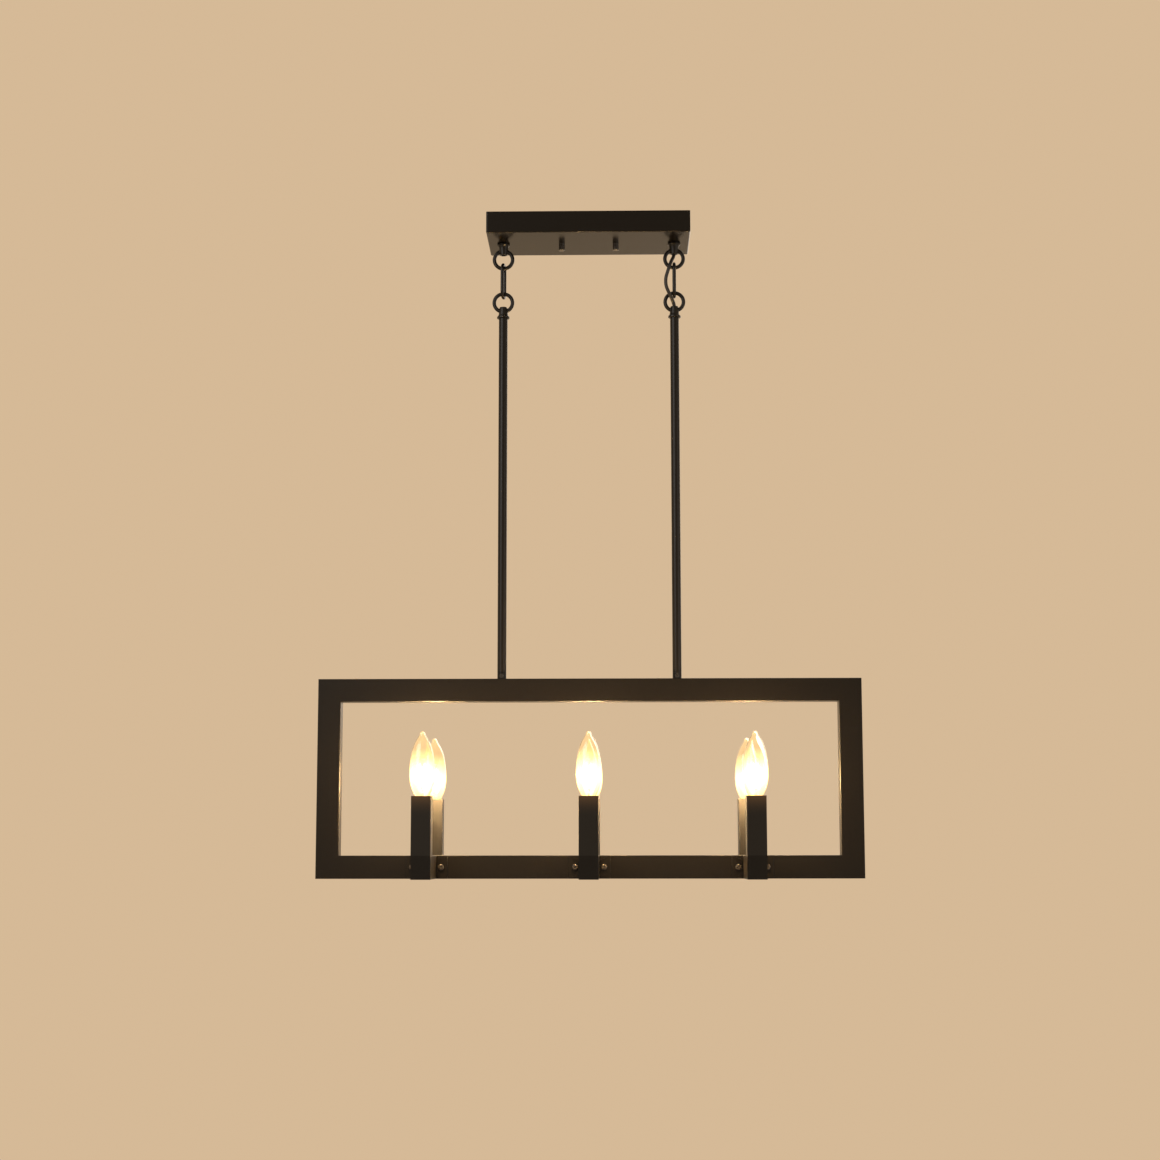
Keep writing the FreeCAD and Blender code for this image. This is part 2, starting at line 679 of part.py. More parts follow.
def draw_trapezium(sketch, length, inset):
    """The bar's side view, shortened by its inset at both of its long sides."""
    near = size("%s" % inset)
    far = size("tube_face - %s" % inset)
    half = size("(%s) / 2" % length)
    corners = [Vector(-(half - near), -near), Vector(half - near, -near)]
    corners += [Vector(half - far, -far), Vector(-(half - far), -far)]
    sides = []
    for start, end in zip(corners, corners[1:] + corners[:1]):
        sides.append(sketch.addGeometry(Part.LineSegment(start, end), False))
    for side, following in zip(sides, sides[1:] + sides[:1]):
        sketch.addConstraint(Sketcher.Constraint("Coincident", side, 2, following, 1))
    sketch.addConstraint(Sketcher.Constraint("Symmetric", sides[0], 1, sides[0], 2, -2))
    sketch.addConstraint(Sketcher.Constraint("Symmetric", sides[2], 1, sides[2], 2, -2))
    near_long = "%s - 2 * (%s)" % (length, inset)
    far_long = "%s - 2 * tube_face + 2 * (%s)" % (length, inset)
    measure(sketch, "near", near_long, "DistanceX", sides[0], 1, sides[0], 2, 2 * (half - near))
    measure(sketch, "far", far_long, "DistanceX", sides[2], 2, sides[2], 1, 2 * (half - far))
    measure(sketch, "face", "tube_face - 2 * (%s)" % inset, "DistanceY", sides[1], 2, sides[1], 1,
            far - near)
    if inset == "0":
        sketch.addConstraint(Sketcher.Constraint("PointOnObject", sides[0], 1, -1))
    else:
        measure(sketch, "inset", inset, "DistanceY", sides[0], 1, -1, 1, near)


def frame():
    """Four mitred tubes, with holes for the rods above and for the arms below."""
    top = mitred_tube("top_bar", "frame_length", 0, 0, FRAME_TOP)
    tools = []
    for sign in ("-1", "1"):
        tools.append(cylinder("stem_hole", "2 * " + THREAD_HOLE, "tube_wall * 2",
                              "%s * %s" % (sign, ROD_PLACE), z=FRAME_TOP + " - tube_wall * 2"))
    node("frame_top_bar", cut("frame_top_bar", top, *tools))

    bottom = mitred_tube("bottom_bar", "frame_length", 180, 0, FRAME_BOTTOM)
    drills = []
    for station in STATIONS.values():
        x = "%s * station_spacing" % station
        drills.append(cylinder("bar_wire_hole", "wire_hole_diameter", "2 * tube_depth", x,
                               "-tube_depth", BAR_MIDDLE, along="y"))
        for sign in ("-1", "1"):
            drills.append(cylinder("bar_screw_hole", "screw_diameter + 2 * thread_clearance",
                                   "2 * tube_depth", "%s + %s * arm_screw_spacing / 2" % (x, sign),
                                   "-tube_depth", BAR_MIDDLE, along="y"))
    node("frame_bottom_bar", cut("frame_bottom_bar", bottom, fuse("bar_drills", *drills)))
    left = mitred_tube("left_post", "frame_height", -90, "-frame_length / 2", FRAME_MIDDLE)
    right = mitred_tube("right_post", "frame_height", 90, "frame_length / 2", FRAME_MIDDLE)
    node("frame_left_post", left)
    node("frame_right_post", right)


# ---------------------------------------------------------------- candle arms
STATIONS = {"left": "-1", "centre": "0", "right": "1"}
SIDES = {"front": "-", "rear": "+"}


def candles():
    """Each candle's station along the bar and its side of the frame."""
    for station, along in STATIONS.items():
        for side, sign in SIDES.items():
            yield "%s_%s" % (station, side), "%s * station_spacing" % along, sign


def arm(name, x, sign):
    """A square tube closed at its outer end, as high as the bar that it leaves."""
    length = "(%s - %s)" % (ARM_END, PLATE_FRONT)
    middle = "0 %s (%s + %s) / 2" % (sign, PLATE_FRONT, ARM_END)
    block = box(name + "_block", "sleeve_width", length, "tube_face", x, middle, FRAME_BOTTOM)
    soft = rounded(name + "_soft", block, "sleeve_edge_radius", runs_away)
    inside = "0 %s ((%s + %s) / 2 - arm_wall)" % (sign, PLATE_FRONT, ARM_END)
    hollow = box(name + "_hollow", "sleeve_width - 2 * arm_wall", length,
                 "tube_face - 2 * arm_wall", x, inside, FRAME_BOTTOM + " + arm_wall")
    hole = cylinder(name + "_hole", "2 * " + THREAD_HOLE, "2 * arm_wall", x,
                    "0 %s candle_reach" % sign, ARM_TOP + " - 2 * arm_wall")
    return node(name, cut(name, soft, hollow, hole))


def runs_away(edge):
    return runs_along(edge, Vector(0, 1, 0))


def arm_plates():
    plates = []
    for name, x, sign in candles():
        y = "0 %s (tube_depth + plate_thickness) / 2" % sign
        blank = box(name + "_plate_blank", "plate_width", "plate_thickness", "tube_face", x, y,
                    FRAME_BOTTOM)
        start = "0 %s tube_depth / 2 - plate_thickness" % sign
        tools = [cylinder(name + "_plate_wire_hole", "wire_hole_diameter", "3 * plate_thickness",
                          x, start, BAR_MIDDLE, along="y")]
        for hand in ("-1", "1"):
            place = "%s + %s * arm_screw_spacing / 2" % (x, hand)
            tools.append(cylinder(name + "_plate_screw_hole", "screw_diameter + 2 * screw_clearance",
                                  "3 * plate_thickness", place, start, BAR_MIDDLE, along="y"))
        plates.append(cut(name + "_plate", blank, *tools))
    node("arm_plates", group("arm_plates", plates))


def arm_screws():
    """Pan head screws with a cross recess, two through each plate into the bar."""
    screws = []
    for name, x, sign in candles():
        out = {"-": "-y", "+": "y"}[sign]
        for hand in ("-1", "1"):
            place = "%s + %s * arm_screw_spacing / 2" % (x, hand)
            seat = "0 %s %s" % (sign, PLATE_FRONT)
            top = "%s %s screw_head_height" % (seat, sign)
            head = cylinder(name + "_screw_head", "screw_head_diameter", "screw_head_height",
                            place, seat, BAR_MIDDLE, along=out)
            soft = rounded(name + "_screw_soft", head, "screw_head_edge", outermost_circle(sign))
            shank = cylinder(name + "_screw_shank", "screw_diameter", "screw_length", place,
                             "%s %s (0 - screw_length)" % (seat, sign), BAR_MIDDLE, along=out)
            recess_y = "%s %s (0 - screw_cross_depth) / 2" % (top, sign)
            level = box(name + "_screw_level", "screw_cross_length", "screw_cross_depth",
                        "screw_cross_width", place, recess_y, BAR_MIDDLE + " - screw_cross_width / 2")
            upright = box(name + "_screw_upright", "screw_cross_width", "screw_cross_depth",
                          "screw_cross_length", place, recess_y,
                          BAR_MIDDLE + " - screw_cross_length / 2")
            whole = fuse(name + "_screw_body", soft, shank)
            screws.append(cut(name + "_screw", whole, fuse(name + "_screw_cross", level, upright)))
    node("arm_screws", group("arm_screws", screws))


def outermost_circle(sign):
    """A test for the circle round a screw head's outer face."""
    face = size(PLATE_FRONT + " + screw_head_height") * (-1 if sign == "-" else 1)

    def wanted(edge):
        return isinstance(edge.Curve, Part.Circle) and abs(edge.Curve.Center.y - face) < 1e-6
    return wanted


def sleeve(name, x, sign):
    """A square tube, open at both ends, that stands on the arm round the lamp holder."""
    y = "0 %s candle_reach" % sign
    block = box(name + "_block", "sleeve_width", "sleeve_width", "sleeve_height", x, y, ARM_TOP)
    soft = rounded(name + "_soft", block, "sleeve_edge_radius", runs_up)
    inner = "sleeve_width - 2 * sleeve_wall"
    hollow = box(name + "_hollow", inner, inner, "3 * sleeve_height", x, y,
                 ARM_TOP + " - sleeve_height")
    return node(name, cut(name, soft, hollow))


def runs_up(edge):
    return runs_along(edge, Vector(0, 0, 1))


def lamp_holders():
    """Sockets on threaded nipples; each nipple has a plate that centres the sleeve."""
    sockets, nipples = [], []
    base_room = "bulb_base_height + bulb_insulator_height + bulb_contact_height"
    for name, x, sign in candles():
        y = "0 %s candle_reach" % sign
        shell = cylinder(name + "_socket_shell", "socket_diameter", "socket_height", x, y,
                         SOCKET_FOOT)
        well = cylinder(name + "_socket_well", "bulb_base_diameter + 2 * bulb_play",
                        base_room, x, y, "%s - (%s)" % (SOCKET_TOP, base_room))
        thread = cylinder(name + "_socket_thread", "2 * " + THREAD_HOLE, "nipple_in_socket", x, y,
                          SOCKET_FOOT)
        sockets.append(cut(name + "_socket", shell, well, thread))
        foot = ARM_TOP + " - nipple_in_arm"
        length = "%s + nipple_in_socket - (%s)" % (SOCKET_FOOT, foot)
        pipe = cylinder(name + "_nipple_pipe", "thread_diameter", length, x, y, foot)
        plate = box(name + "_nipple_plate", "locating_plate", "locating_plate",
                    "locating_plate_thickness", x, y, ARM_TOP)
        bore = cylinder(name + "_nipple_bore", "wire_bore", "3 * (%s)" % length, x, y,
                        "%s - (%s)" % (foot, length))
        nipples.append(cut(name + "_nipple", fuse(name + "_nipple_body", pipe, plate), bore))
    node("lamp_sockets", group("lamp_sockets", sockets))
    node("socket_nipples", group("socket_nipples", nipples))


# ---------------------------------------------------------------- bulbs
# The glass's outline, as shares of its height and of its largest radius: foot, swell,
# shoulder, and the small drawn tip.
GLASS_SHARES = [
    (0.0, 0.40),
    (0.083, 0.56),
    (0.21, 0.87),
    (0.36, 1.0),
    (0.57, 0.95),
    (0.71, 0.83),
    (0.82, 0.64),
    (0.90, 0.40),
    (0.945, 0.245),
    (0.975, 0.20),
]


def glass_outline(wall):
    """Points of the outline from foot to tip, brought in by a wall's thickness."""
    height = size("bulb_glass_height")
    radius = size("bulb_diameter / 2")
    return [Vector(radius * r - wall, 0, height * h) for h, r in GLASS_SHARES]


def bulb_glass(name, x, sign):
    """A hollow candle shape: the space between an outer and an inner outline, turned."""
    wall = size("bulb_glass_wall")
    height = size("bulb_glass_height")
    outer = glass_outline(0)
    inner = glass_outline(wall)[:-2]
    tip = Vector(0, 0, height)
    inner_tip = Vector(0, 0, inner[-1].z + inner[-1].x)
    skin = Part.BSplineCurve()
    skin.interpolate(outer + [tip], InitialTangent=Vector(0, 0, 1), FinalTangent=Vector(-1, 0, 0))
    lining = Part.BSplineCurve()
    lining.interpolate(inner + [inner_tip], InitialTangent=Vector(0, 0, 1),
                       FinalTangent=Vector(-1, 0, 0))
    edges = [
        skin.toShape(),
        Part.LineSegment(tip, inner_tip).toShape(),
        lining.toShape(),
        Part.LineSegment(inner[0], outer[0]).toShape(),
    ]
    face = Part.Face(Part.Wire(Part.__sortEdges__(edges)))
    turned = face.revolve(Vector(), Vector(0, 0, 1), 360)
    thing = made(name, turned)
    return node(name, put(thing, x, "0 %s candle_reach" % sign, GLASS_FOOT))


def bulb_base(name, x, sign):
    """Screw shell with a collar that holds the glass, an insulator and the centre contact."""
    y = "0 %s candle_reach" % sign
    neck = "2 * (bulb_diameter / 2 * %s - bulb_glass_wall)" % GLASS_SHARES[0][1]
    shell = cylinder(name + "_shell", "bulb_base_diameter", "bulb_base_height", x, y, GLASS_FOOT,
                     along="-z")
    collar = cylinder(name + "_collar", neck, "bulb_base_collar", x, y, GLASS_FOOT)
    insulator = cone(name + "_insulator", "bulb_base_diameter", "bulb_insulator_diameter",
                     "bulb_insulator_height", x, y, GLASS_FOOT + " - bulb_base_height", along="-z")
    contact = cylinder(name + "_contact", "bulb_contact_diameter", "bulb_contact_height", x, y,
                       GLASS_FOOT + " - bulb_base_height - bulb_insulator_height", along="-z")
    return node(name, fuse(name, shell, collar, insulator, contact))


def bulb_filament(name, x, sign):
    """A glass mount in the bulb's foot, four leaning filaments and the ring that joins them."""
    stem_d = size("filament_stem_diameter")
    stem_h = size("filament_stem_height")
    stick = size("filament_diameter")
    reach = size("filament_height")
    low = size("filament_foot_radius")
    high = size("filament_head_radius")
    start = size("bulb_base_collar")
    shape = Part.makeCone(stem_d / 2, low + stick / 2, stem_h, Vector(0, 0, start))
    foot_z = start + stem_h - stick
    for quarter in range(4):
        turn = Rotation(Vector(0, 0, 1), 45 + 90 * quarter)
        foot = turn.multVec(Vector(low, 0, foot_z))
        head = turn.multVec(Vector(high, 0, foot_z + reach))
        shape = shape.fuse(Part.makeCylinder(stick / 2, (head - foot).Length, foot, head - foot))
    hoop = Part.makeTorus(high, stick / 3, Vector(0, 0, foot_z + reach - stick / 3))
    shape = shape.fuse(hoop)
    thing = made(name, shape.removeSplitter())
    return node(name, put(thing, x, "0 %s candle_reach" % sign, GLASS_FOOT))


# ---------------------------------------------------------------- wiring
# The supply cord's free stretch beside the right link, chosen by hand: places across and in
# front of the right rod's axis, and heights from the link's middle. It starts and ends inside
# the necks of the two loops.
CORD_ROUTE = [
    (0.0, 0.0, 38.5),
    (-1.0, -1.8, 34.2),
    (-2.8, -5.0, 29.8),
    (-4.8, -8.4, 25.4),
    (-6.6, -10.4, 19.6),
    (-9.2, -10.9, 11.6),
    (-12.6, -10.6, 0.9),
    (-12.4, -10.9, -10.6),
    (-8.4, -10.2, -20.0),
    (-5.6, -8.0, -25.6),
    (-3.0, -4.6, -30.2),
    (-1.0, -1.6, -34.4),
    (0.0, 0.0, -38.5),
]
ARC_SHARE = 0.45


def arc_radii(points):
    """The largest tangent arc at each inner point of a cord's route."""
    radii = []
    for before, corner, after in zip(points, points[1:], points[2:]):
        run = min((corner - before).Length, (after - corner).Length)
        turn = (corner - before).getAngle(after - corner)
        radii.append(ARC_SHARE * run / math.tan(turn / 2))
    return radii


def supply_cord():
    """The stretch that hangs free between the right-hand loops, from bore to bore."""
    axis = size(ROD_PLACE)
    middle = size("(%s + %s) / 2" % (UPPER_PIVOT, LOWER_PIVOT))
    route = [Vector(axis, 0, size(CORD_TOP))]
    route += [Vector(axis + x, y, middle + z) for x, y, z in CORD_ROUTE]
    route.append(Vector(axis, 0, size(CORD_FOOT)))
    radii = arc_radii(route)
    print("cord radii, mm:", [round(radius, 1) for radius in radii])
    tube, length = round_tube(route, radii, size("cord_diameter"))
    print("cord length, mm:", round(length, 1))
    node("supply_cord", made("supply_cord", tube))


def canopy_leads():
    """The cord's end inside the canopy, and the two wire nuts that join it to the supply."""
    x = size(ROD_PLACE)
    foot = size(CORD_TOP)
    level = -size("lead_height")
    end = size(WIRE_NUT_MOUTH)
    points = [Vector(x, 0, foot), Vector(x, 0, level), Vector(end, 0, level)]
    lead, _ = round_tube(points, [size("harness_bend")], size("cord_diameter"))
    solids = [made("lead", lead)]
    for sign in ("-1", "1"):
        solids.append(cone("wire_nut", "wire_nut_mouth_diameter", "wire_nut_tip_diameter",
                           "wire_nut_length", WIRE_NUT_MOUTH,
                           "%s * wire_nut_spacing / 2" % sign, "-lead_height", along="-x"))
    node("canopy_leads", group("canopy_leads", solids))


def frame_harness():
    """The cord down the right rod and round inside the frame, and a branch to each socket."""
    x = size(ROD_PLACE)
    far = size("frame_length / 2 - tube_face / 2")
    last = -size("station_spacing")
    top = size(FRAME_TOP + " - tube_face / 2")
    low = size(BAR_MIDDLE)
    start = size(CORD_FOOT)
    points = [
        Vector(x, 0, start), Vector(x, 0, top), Vector(far, 0, top),
        Vector(far, 0, low), Vector(last, 0, low),
    ]
    trunk, _ = round_tube(points, [size("harness_bend")] * 3, size("cord_diameter"))
    solids = [trunk]
    reach = size("candle_reach")
    rise = size(SOCKET_FOOT + " + nipple_in_socket")
    for station in STATIONS.values():
        along = size("%s * station_spacing" % station)
        for sign in (-1, 1):
            points = [Vector(along, 0, low), Vector(along, sign * reach, low),
                      Vector(along, sign * reach, rise)]
            branch, _ = round_tube(points, [size("branch_bend")], size("branch_wire_diameter"))
            solids.append(branch)
    whole = solids[0].multiFuse(solids[1:])
    node("frame_harness", made("frame_harness", whole.removeSplitter()))


# ---------------------------------------------------------------- the lamp, put together
canopy()
straps()
canopy_fixings()
ground_screw()
loop("upper_loop_left", "-" + ROD_PLACE, UPPER_SEAT, "down")
loop("upper_loop_right", ROD_PLACE, UPPER_SEAT, "down")
loop_nuts()
canopy_leads()
link("link_left", "-" + ROD_PLACE, "-left_link_turn")
link("link_right", ROD_PLACE, "0")
supply_cord()
loop("lower_loop_left", "-" + ROD_PLACE, ROD_TOP, "up")
loop("lower_loop_right", ROD_PLACE, ROD_TOP, "up")
rod("rod_left", "-" + ROD_PLACE)
rod("rod_right", ROD_PLACE)
rod_fixings()
frame()
for candle, place, side_sign in candles():
    arm("arm_" + candle, place, side_sign)
arm_plates()
arm_screws()
for candle, place, side_sign in candles():
    sleeve("sleeve_" + candle, place, side_sign)
lamp_holders()
frame_harness()
for candle, place, side_sign in candles():
    bulb_glass("bulb_glass_" + candle, place, side_sign)
    bulb_base("bulb_base_" + candle, place, side_sign)
    bulb_filament("bulb_filament_" + candle, place, side_sign)
doc.recompute()

# ---------------------------------------------------------------- checks and files
for thing in doc.Objects:
    if {"Invalid", "Error"} & set(thing.State):
        raise RuntimeError("%s (%s) failed: %s" % (thing.Name, thing.Label, thing.State))
for thing in nodes:
    if thing.Shape.isNull() or not thing.Shape.isValid() or not thing.Shape.Solids:
        raise RuntimeError("%s has no valid solid" % thing.Label)
os.makedirs("parts", exist_ok=True)
for thing in nodes:
    thing.Shape.exportStep("parts/%s.step" % thing.Label)
print("nodes:", len(nodes))
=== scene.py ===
import math
import random

import bmesh
import bpy
from mathutils import Matrix, Vector


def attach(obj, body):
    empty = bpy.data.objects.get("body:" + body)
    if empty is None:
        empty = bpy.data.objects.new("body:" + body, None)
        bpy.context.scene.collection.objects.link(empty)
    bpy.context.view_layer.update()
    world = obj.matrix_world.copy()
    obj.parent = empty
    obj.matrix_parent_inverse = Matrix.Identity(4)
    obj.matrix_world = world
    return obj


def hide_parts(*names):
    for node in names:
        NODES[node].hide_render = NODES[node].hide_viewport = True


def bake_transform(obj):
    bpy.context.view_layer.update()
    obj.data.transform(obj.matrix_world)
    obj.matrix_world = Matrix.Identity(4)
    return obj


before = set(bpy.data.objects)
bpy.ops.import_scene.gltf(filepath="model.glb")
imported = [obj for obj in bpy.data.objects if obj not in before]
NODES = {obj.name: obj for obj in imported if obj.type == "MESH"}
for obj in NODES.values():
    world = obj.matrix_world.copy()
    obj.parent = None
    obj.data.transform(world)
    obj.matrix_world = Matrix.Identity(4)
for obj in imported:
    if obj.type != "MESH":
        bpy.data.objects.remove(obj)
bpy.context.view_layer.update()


# ---------------------------------------------------------------- camera
# The lamp is seen from the front, nearly square on, from just above the level of its lower
# bar and looking a little upwards, so that the underside of the canopy shows.
CAMERA_PLACE = Vector((0.03951, -2.82973, -0.90037))
CAMERA_LENS = 62.4785
SENSOR_WIDTH = 36
CAMERA_SIGHT = 100
CAMERA_YAW = -0.0186
CAMERA_PITCH = 0.1326
CAMERA_ROLL = -0.001

bpy.ops.object.camera_add()
camera = bpy.context.object
camera.name = "camera"
camera.data.lens = CAMERA_LENS
camera.data.sensor_width = SENSOR_WIDTH
camera.data.clip_end = CAMERA_SIGHT
camera.matrix_world = (
    Matrix.Translation(CAMERA_PLACE)
    @ Matrix.Rotation(-CAMERA_YAW, 4, "Z")
    @ Matrix.Rotation(math.pi / 2 + CAMERA_PITCH, 4, "X")
    @ Matrix.Rotation(CAMERA_ROLL, 4, "Z")
)
bpy.context.scene.camera = camera


# ---------------------------------------------------------------- supply cord
# A thin black flex, one limp length. It leaves the neck of the right upper loop, goes round
# the link and enters the neck of the lower loop. It bends where the link swings in the rings,
# so it is made as two pieces that meet halfway down the link.
ROD_X = 0.1235
LINK_MIDDLE_Z = -0.0864
UPPER_PIVOT_Z = -0.0676
LOWER_PIVOT_Z = -0.1052
CORD_DIAMETER = 0.005
CORD_SPLINE_STEPS = 12
MERGE_DISTANCE = 1e-6
CORD_ROUTE = [
    (0.0, 0.0, 0.0428),
    (0.0, 0.0, 0.0385),
    (-0.0010, -0.0018, 0.0342),
    (-0.0028, -0.0050, 0.0298),
    (-0.0048, -0.0084, 0.0254),
    (-0.0066, -0.0104, 0.0196),
    (-0.0092, -0.0109, 0.0116),
    (-0.0126, -0.0106, 0.0009),
    (-0.0124, -0.0109, -0.0106),
    (-0.0084, -0.0102, -0.0200),
    (-0.0056, -0.0080, -0.0256),
    (-0.0030, -0.0046, -0.0302),
    (-0.0010, -0.0016, -0.0344),
    (0.0, 0.0, -0.0385),
    (0.0, 0.0, -0.0428),
]


def select_only(*objects):
    """Select these objects and nothing else; the last of them becomes the active one."""
    bpy.ops.object.select_all(action="DESELECT")
    for thing in objects:
        thing.select_set(True)
        bpy.context.view_layer.objects.active = thing


def spline_points(route, steps):
    """Points read from the smooth NURBS spline that has the route as its control points."""
    line = bpy.data.curves.new("line", "CURVE")
    line.dimensions = "3D"
    line.resolution_u = steps
    spline = line.splines.new("NURBS")
    spline.points.add(len(route) - 1)
    for point, place in zip(spline.points, route):
        point.co = (*place, 1.0)
    spline.order_u = 3
    spline.use_endpoint_u = True
    holder = bpy.data.objects.new("line", line)
    mesh = bpy.data.meshes.new_from_object(holder)
    points = [vertex.co.copy() for vertex in mesh.vertices]
    bpy.data.objects.remove(holder)
    bpy.data.curves.remove(line)
    bpy.data.meshes.remove(mesh)
    return points


def tube_along(name, points, radius, sides=5):
    """A round, capped mesh tube along points that are close together."""
    line = bpy.data.curves.new(name, "CURVE")
    line.dimensions = "3D"
    line.bevel_depth = radius
    line.bevel_resolution = sides
    line.use_fill_caps = True
    spline = line.splines.new("POLY")
    spline.points.add(len(points) - 1)
    for point, place in zip(spline.points, points):
        point.co = (*place, 1.0)
    holder = bpy.data.objects.new(name, line)
    tube = bpy.data.objects.new(name, bpy.data.meshes.new_from_object(holder))
    bpy.data.objects.remove(holder)
    bpy.data.curves.remove(line)
    tube.name = name
    bpy.context.scene.collection.objects.link(tube)
    bpy.context.view_layer.update()
    smooth(tube, degrees=60)
    return tube


def smooth(piece, degrees=35):
    """Merge a piece's doubles and shade it smooth, apart from edges sharper than degrees."""
    mesh = bmesh.new()
    mesh.from_mesh(piece.data)
    bmesh.ops.remove_doubles(mesh, verts=mesh.verts, dist=MERGE_DISTANCE)
    mesh.to_mesh(piece.data)
    mesh.free()
    select_only(piece)
    bpy.ops.object.shade_smooth_by_angle(angle=math.radians(degrees))


def material(name, colour, roughness, metallic=0.0, specular=0.5):
    """A new material with a Principled shader; returns it, its node tree and the shader."""
    finish = bpy.data.materials.new(name)
    finish.use_nodes = True
    tree = finish.node_tree
    shader = tree.nodes["Principled BSDF"]
    shader.inputs["Base Color"].default_value = (*colour, 1)
    shader.inputs["Roughness"].default_value = roughness
    shader.inputs["Metallic"].default_value = metallic
    shader.inputs["Specular IOR Level"].default_value = specular
    return finish, tree, shader


def noise(tree, scale, detail=4.0):
    """Noise on the object's own coordinates; returns its value socket."""
    place = tree.nodes.new("ShaderNodeTexCoord")
    texture = tree.nodes.new("ShaderNodeTexNoise")
    texture.inputs["Scale"].default_value = scale
    texture.inputs["Detail"].default_value = detail
    tree.links.new(place.outputs["Object"], texture.inputs["Vector"])
    return texture.outputs["Fac"]


def spread(tree, source, low, high, target, begin=0.3, end=0.7):
    """Stretch a source from begin..end to low..high and feed it to a socket."""
    ramp = tree.nodes.new("ShaderNodeMapRange")
    for label, value in (
        ("From Min", begin), ("From Max", end), ("To Min", low), ("To Max", high),
    ):
        ramp.inputs[label].default_value = value
    tree.links.new(source, ramp.inputs["Value"])
    tree.links.new(ramp.outputs["Result"], target)


def tint(tree, source, first, second, target, begin=0.35, end=0.65):
    """Mix two colours by a source and feed the result to a socket."""
    ramp = tree.nodes.new("ShaderNodeValToRGB")
    ramp.color_ramp.elements[0].position = begin
    ramp.color_ramp.elements[1].position = end
    ramp.color_ramp.elements[0].color = (*first, 1)
    ramp.color_ramp.elements[1].color = (*second, 1)
    tree.links.new(source, ramp.inputs["Fac"])
    tree.links.new(ramp.outputs["Color"], target)


def bump(tree, shader, source, height):
    """Give a shader relief from a source, of the given height in metres."""
    relief = tree.nodes.new("ShaderNodeBump")
    relief.inputs["Strength"].default_value = 1.0
    relief.inputs["Distance"].default_value = height
    tree.links.new(source, relief.inputs["Height"])
    tree.links.new(relief.outputs["Normal"], shader.inputs["Normal"])


def dress(piece, finish):
    """Give a piece one material."""
    piece.data.materials.clear()
    piece.data.materials.append(finish)


black_cord, tree, shader = material("black_cord", (0.012, 0.011, 0.010), 0.45, specular=0.4)
tint(tree, noise(tree, 300), (0.009, 0.008, 0.008), (0.018, 0.016, 0.014),
     shader.inputs["Base Color"])
spread(tree, noise(tree, 900), 0.38, 0.55, shader.inputs["Roughness"])
bump(tree, shader, noise(tree, 1800), 0.00002)

cord_line = [Vector((ROD_X, 0, LINK_MIDDLE_Z)) + point for point in spline_points(
    [Vector(place) for place in CORD_ROUTE], CORD_SPLINE_STEPS)]
halfway = min(range(len(cord_line)), key=lambda i: abs(cord_line[i].z - LINK_MIDDLE_Z))
cord_halves = (
    ("supply_cord_upper", cord_line[:halfway + 1], "mounting", "right_link", UPPER_PIVOT_Z),
    ("supply_cord_lower", cord_line[halfway:], "right_link", "hanging_frame", LOWER_PIVOT_Z),
)
for name, points, above, below, pivot in cord_halves:
    half = tube_along(name, points, CORD_DIAMETER / 2)
    dress(half, black_cord)
    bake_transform(half)
    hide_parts("supply_cord")


# ---------------------------------------------------------------- ceiling canopy
# A pan folded from sheet steel, open at the top, painted semi-gloss black. Its rim lies on
# the ceiling, and two cap nuts hold it from below.
def black_paint(name, roughness, specular, grain):
    """Warm black paint or powder coat on steel: faint orange peel and uneven sheen."""
    finish, tree, shader = material(name, (0.0029, 0.0024, 0.0021), roughness, specular=specular)
    tint(tree, noise(tree, 240), (0.0025, 0.0020, 0.0017), (0.0035, 0.0029, 0.0025),
         shader.inputs["Base Color"])
    spread(tree, noise(tree, 700, 6), roughness - 0.02, roughness + 0.03,
           shader.inputs["Roughness"])
    bump(tree, shader, noise(tree, 1100, 3), grain)
    return finish


canopy_black = black_paint("canopy_black", 0.22, 0.21, 0.000006)
dress(NODES["canopy"], canopy_black)


# ---------------------------------------------------------------- straps and ground screw
# Two crossed zinc plated steel straps that hold the canopy to the ceiling's outlet box, and
# the green screw for the earth wire. They lie inside the canopy.
def zinc_plate(name):
    """Bright zinc on steel, with the faint bloom of its passivation."""
    finish, tree, shader = material(name, (0.60, 0.61, 0.60), 0.32, metallic=1.0)
    tint(tree, noise(tree, 90, 5), (0.50, 0.52, 0.53), (0.68, 0.67, 0.63),
         shader.inputs["Base Color"])
    spread(tree, noise(tree, 400, 4), 0.26, 0.42, shader.inputs["Roughness"])
    bump(tree, shader, noise(tree, 900), 0.00001)
    return finish


zinc_steel = zinc_plate("zinc_steel")
for name in ("ceiling_strap", "canopy_strap", "stud_nuts", "loop_nuts"):
    dress(NODES[name], zinc_steel)

green_screw, tree, shader = material("green_screw", (0.03, 0.25, 0.09), 0.35, metallic=0.6)
tint(tree, noise(tree, 400), (0.02, 0.19, 0.07), (0.05, 0.32, 0.12), shader.inputs["Base Color"])
spread(tree, noise(tree, 700), 0.28, 0.45, shader.inputs["Roughness"])
dress(NODES["ground_screw"], green_screw)


# ---------------------------------------------------------------- canopy studs
# Two threaded steel studs that pass from the strap through the canopy's floor, held by a
# lock nut above and by the cap nuts below.
STUD_X = 0.039
STUD_RADIUS = 0.00195
STUD_TOP = -0.0016
STUD_FOOT = -0.03845
FINE_PITCH = 0.0007
FINE_THREAD_DEPTH = 0.0004
CUT_THRESHOLD = 1e-7


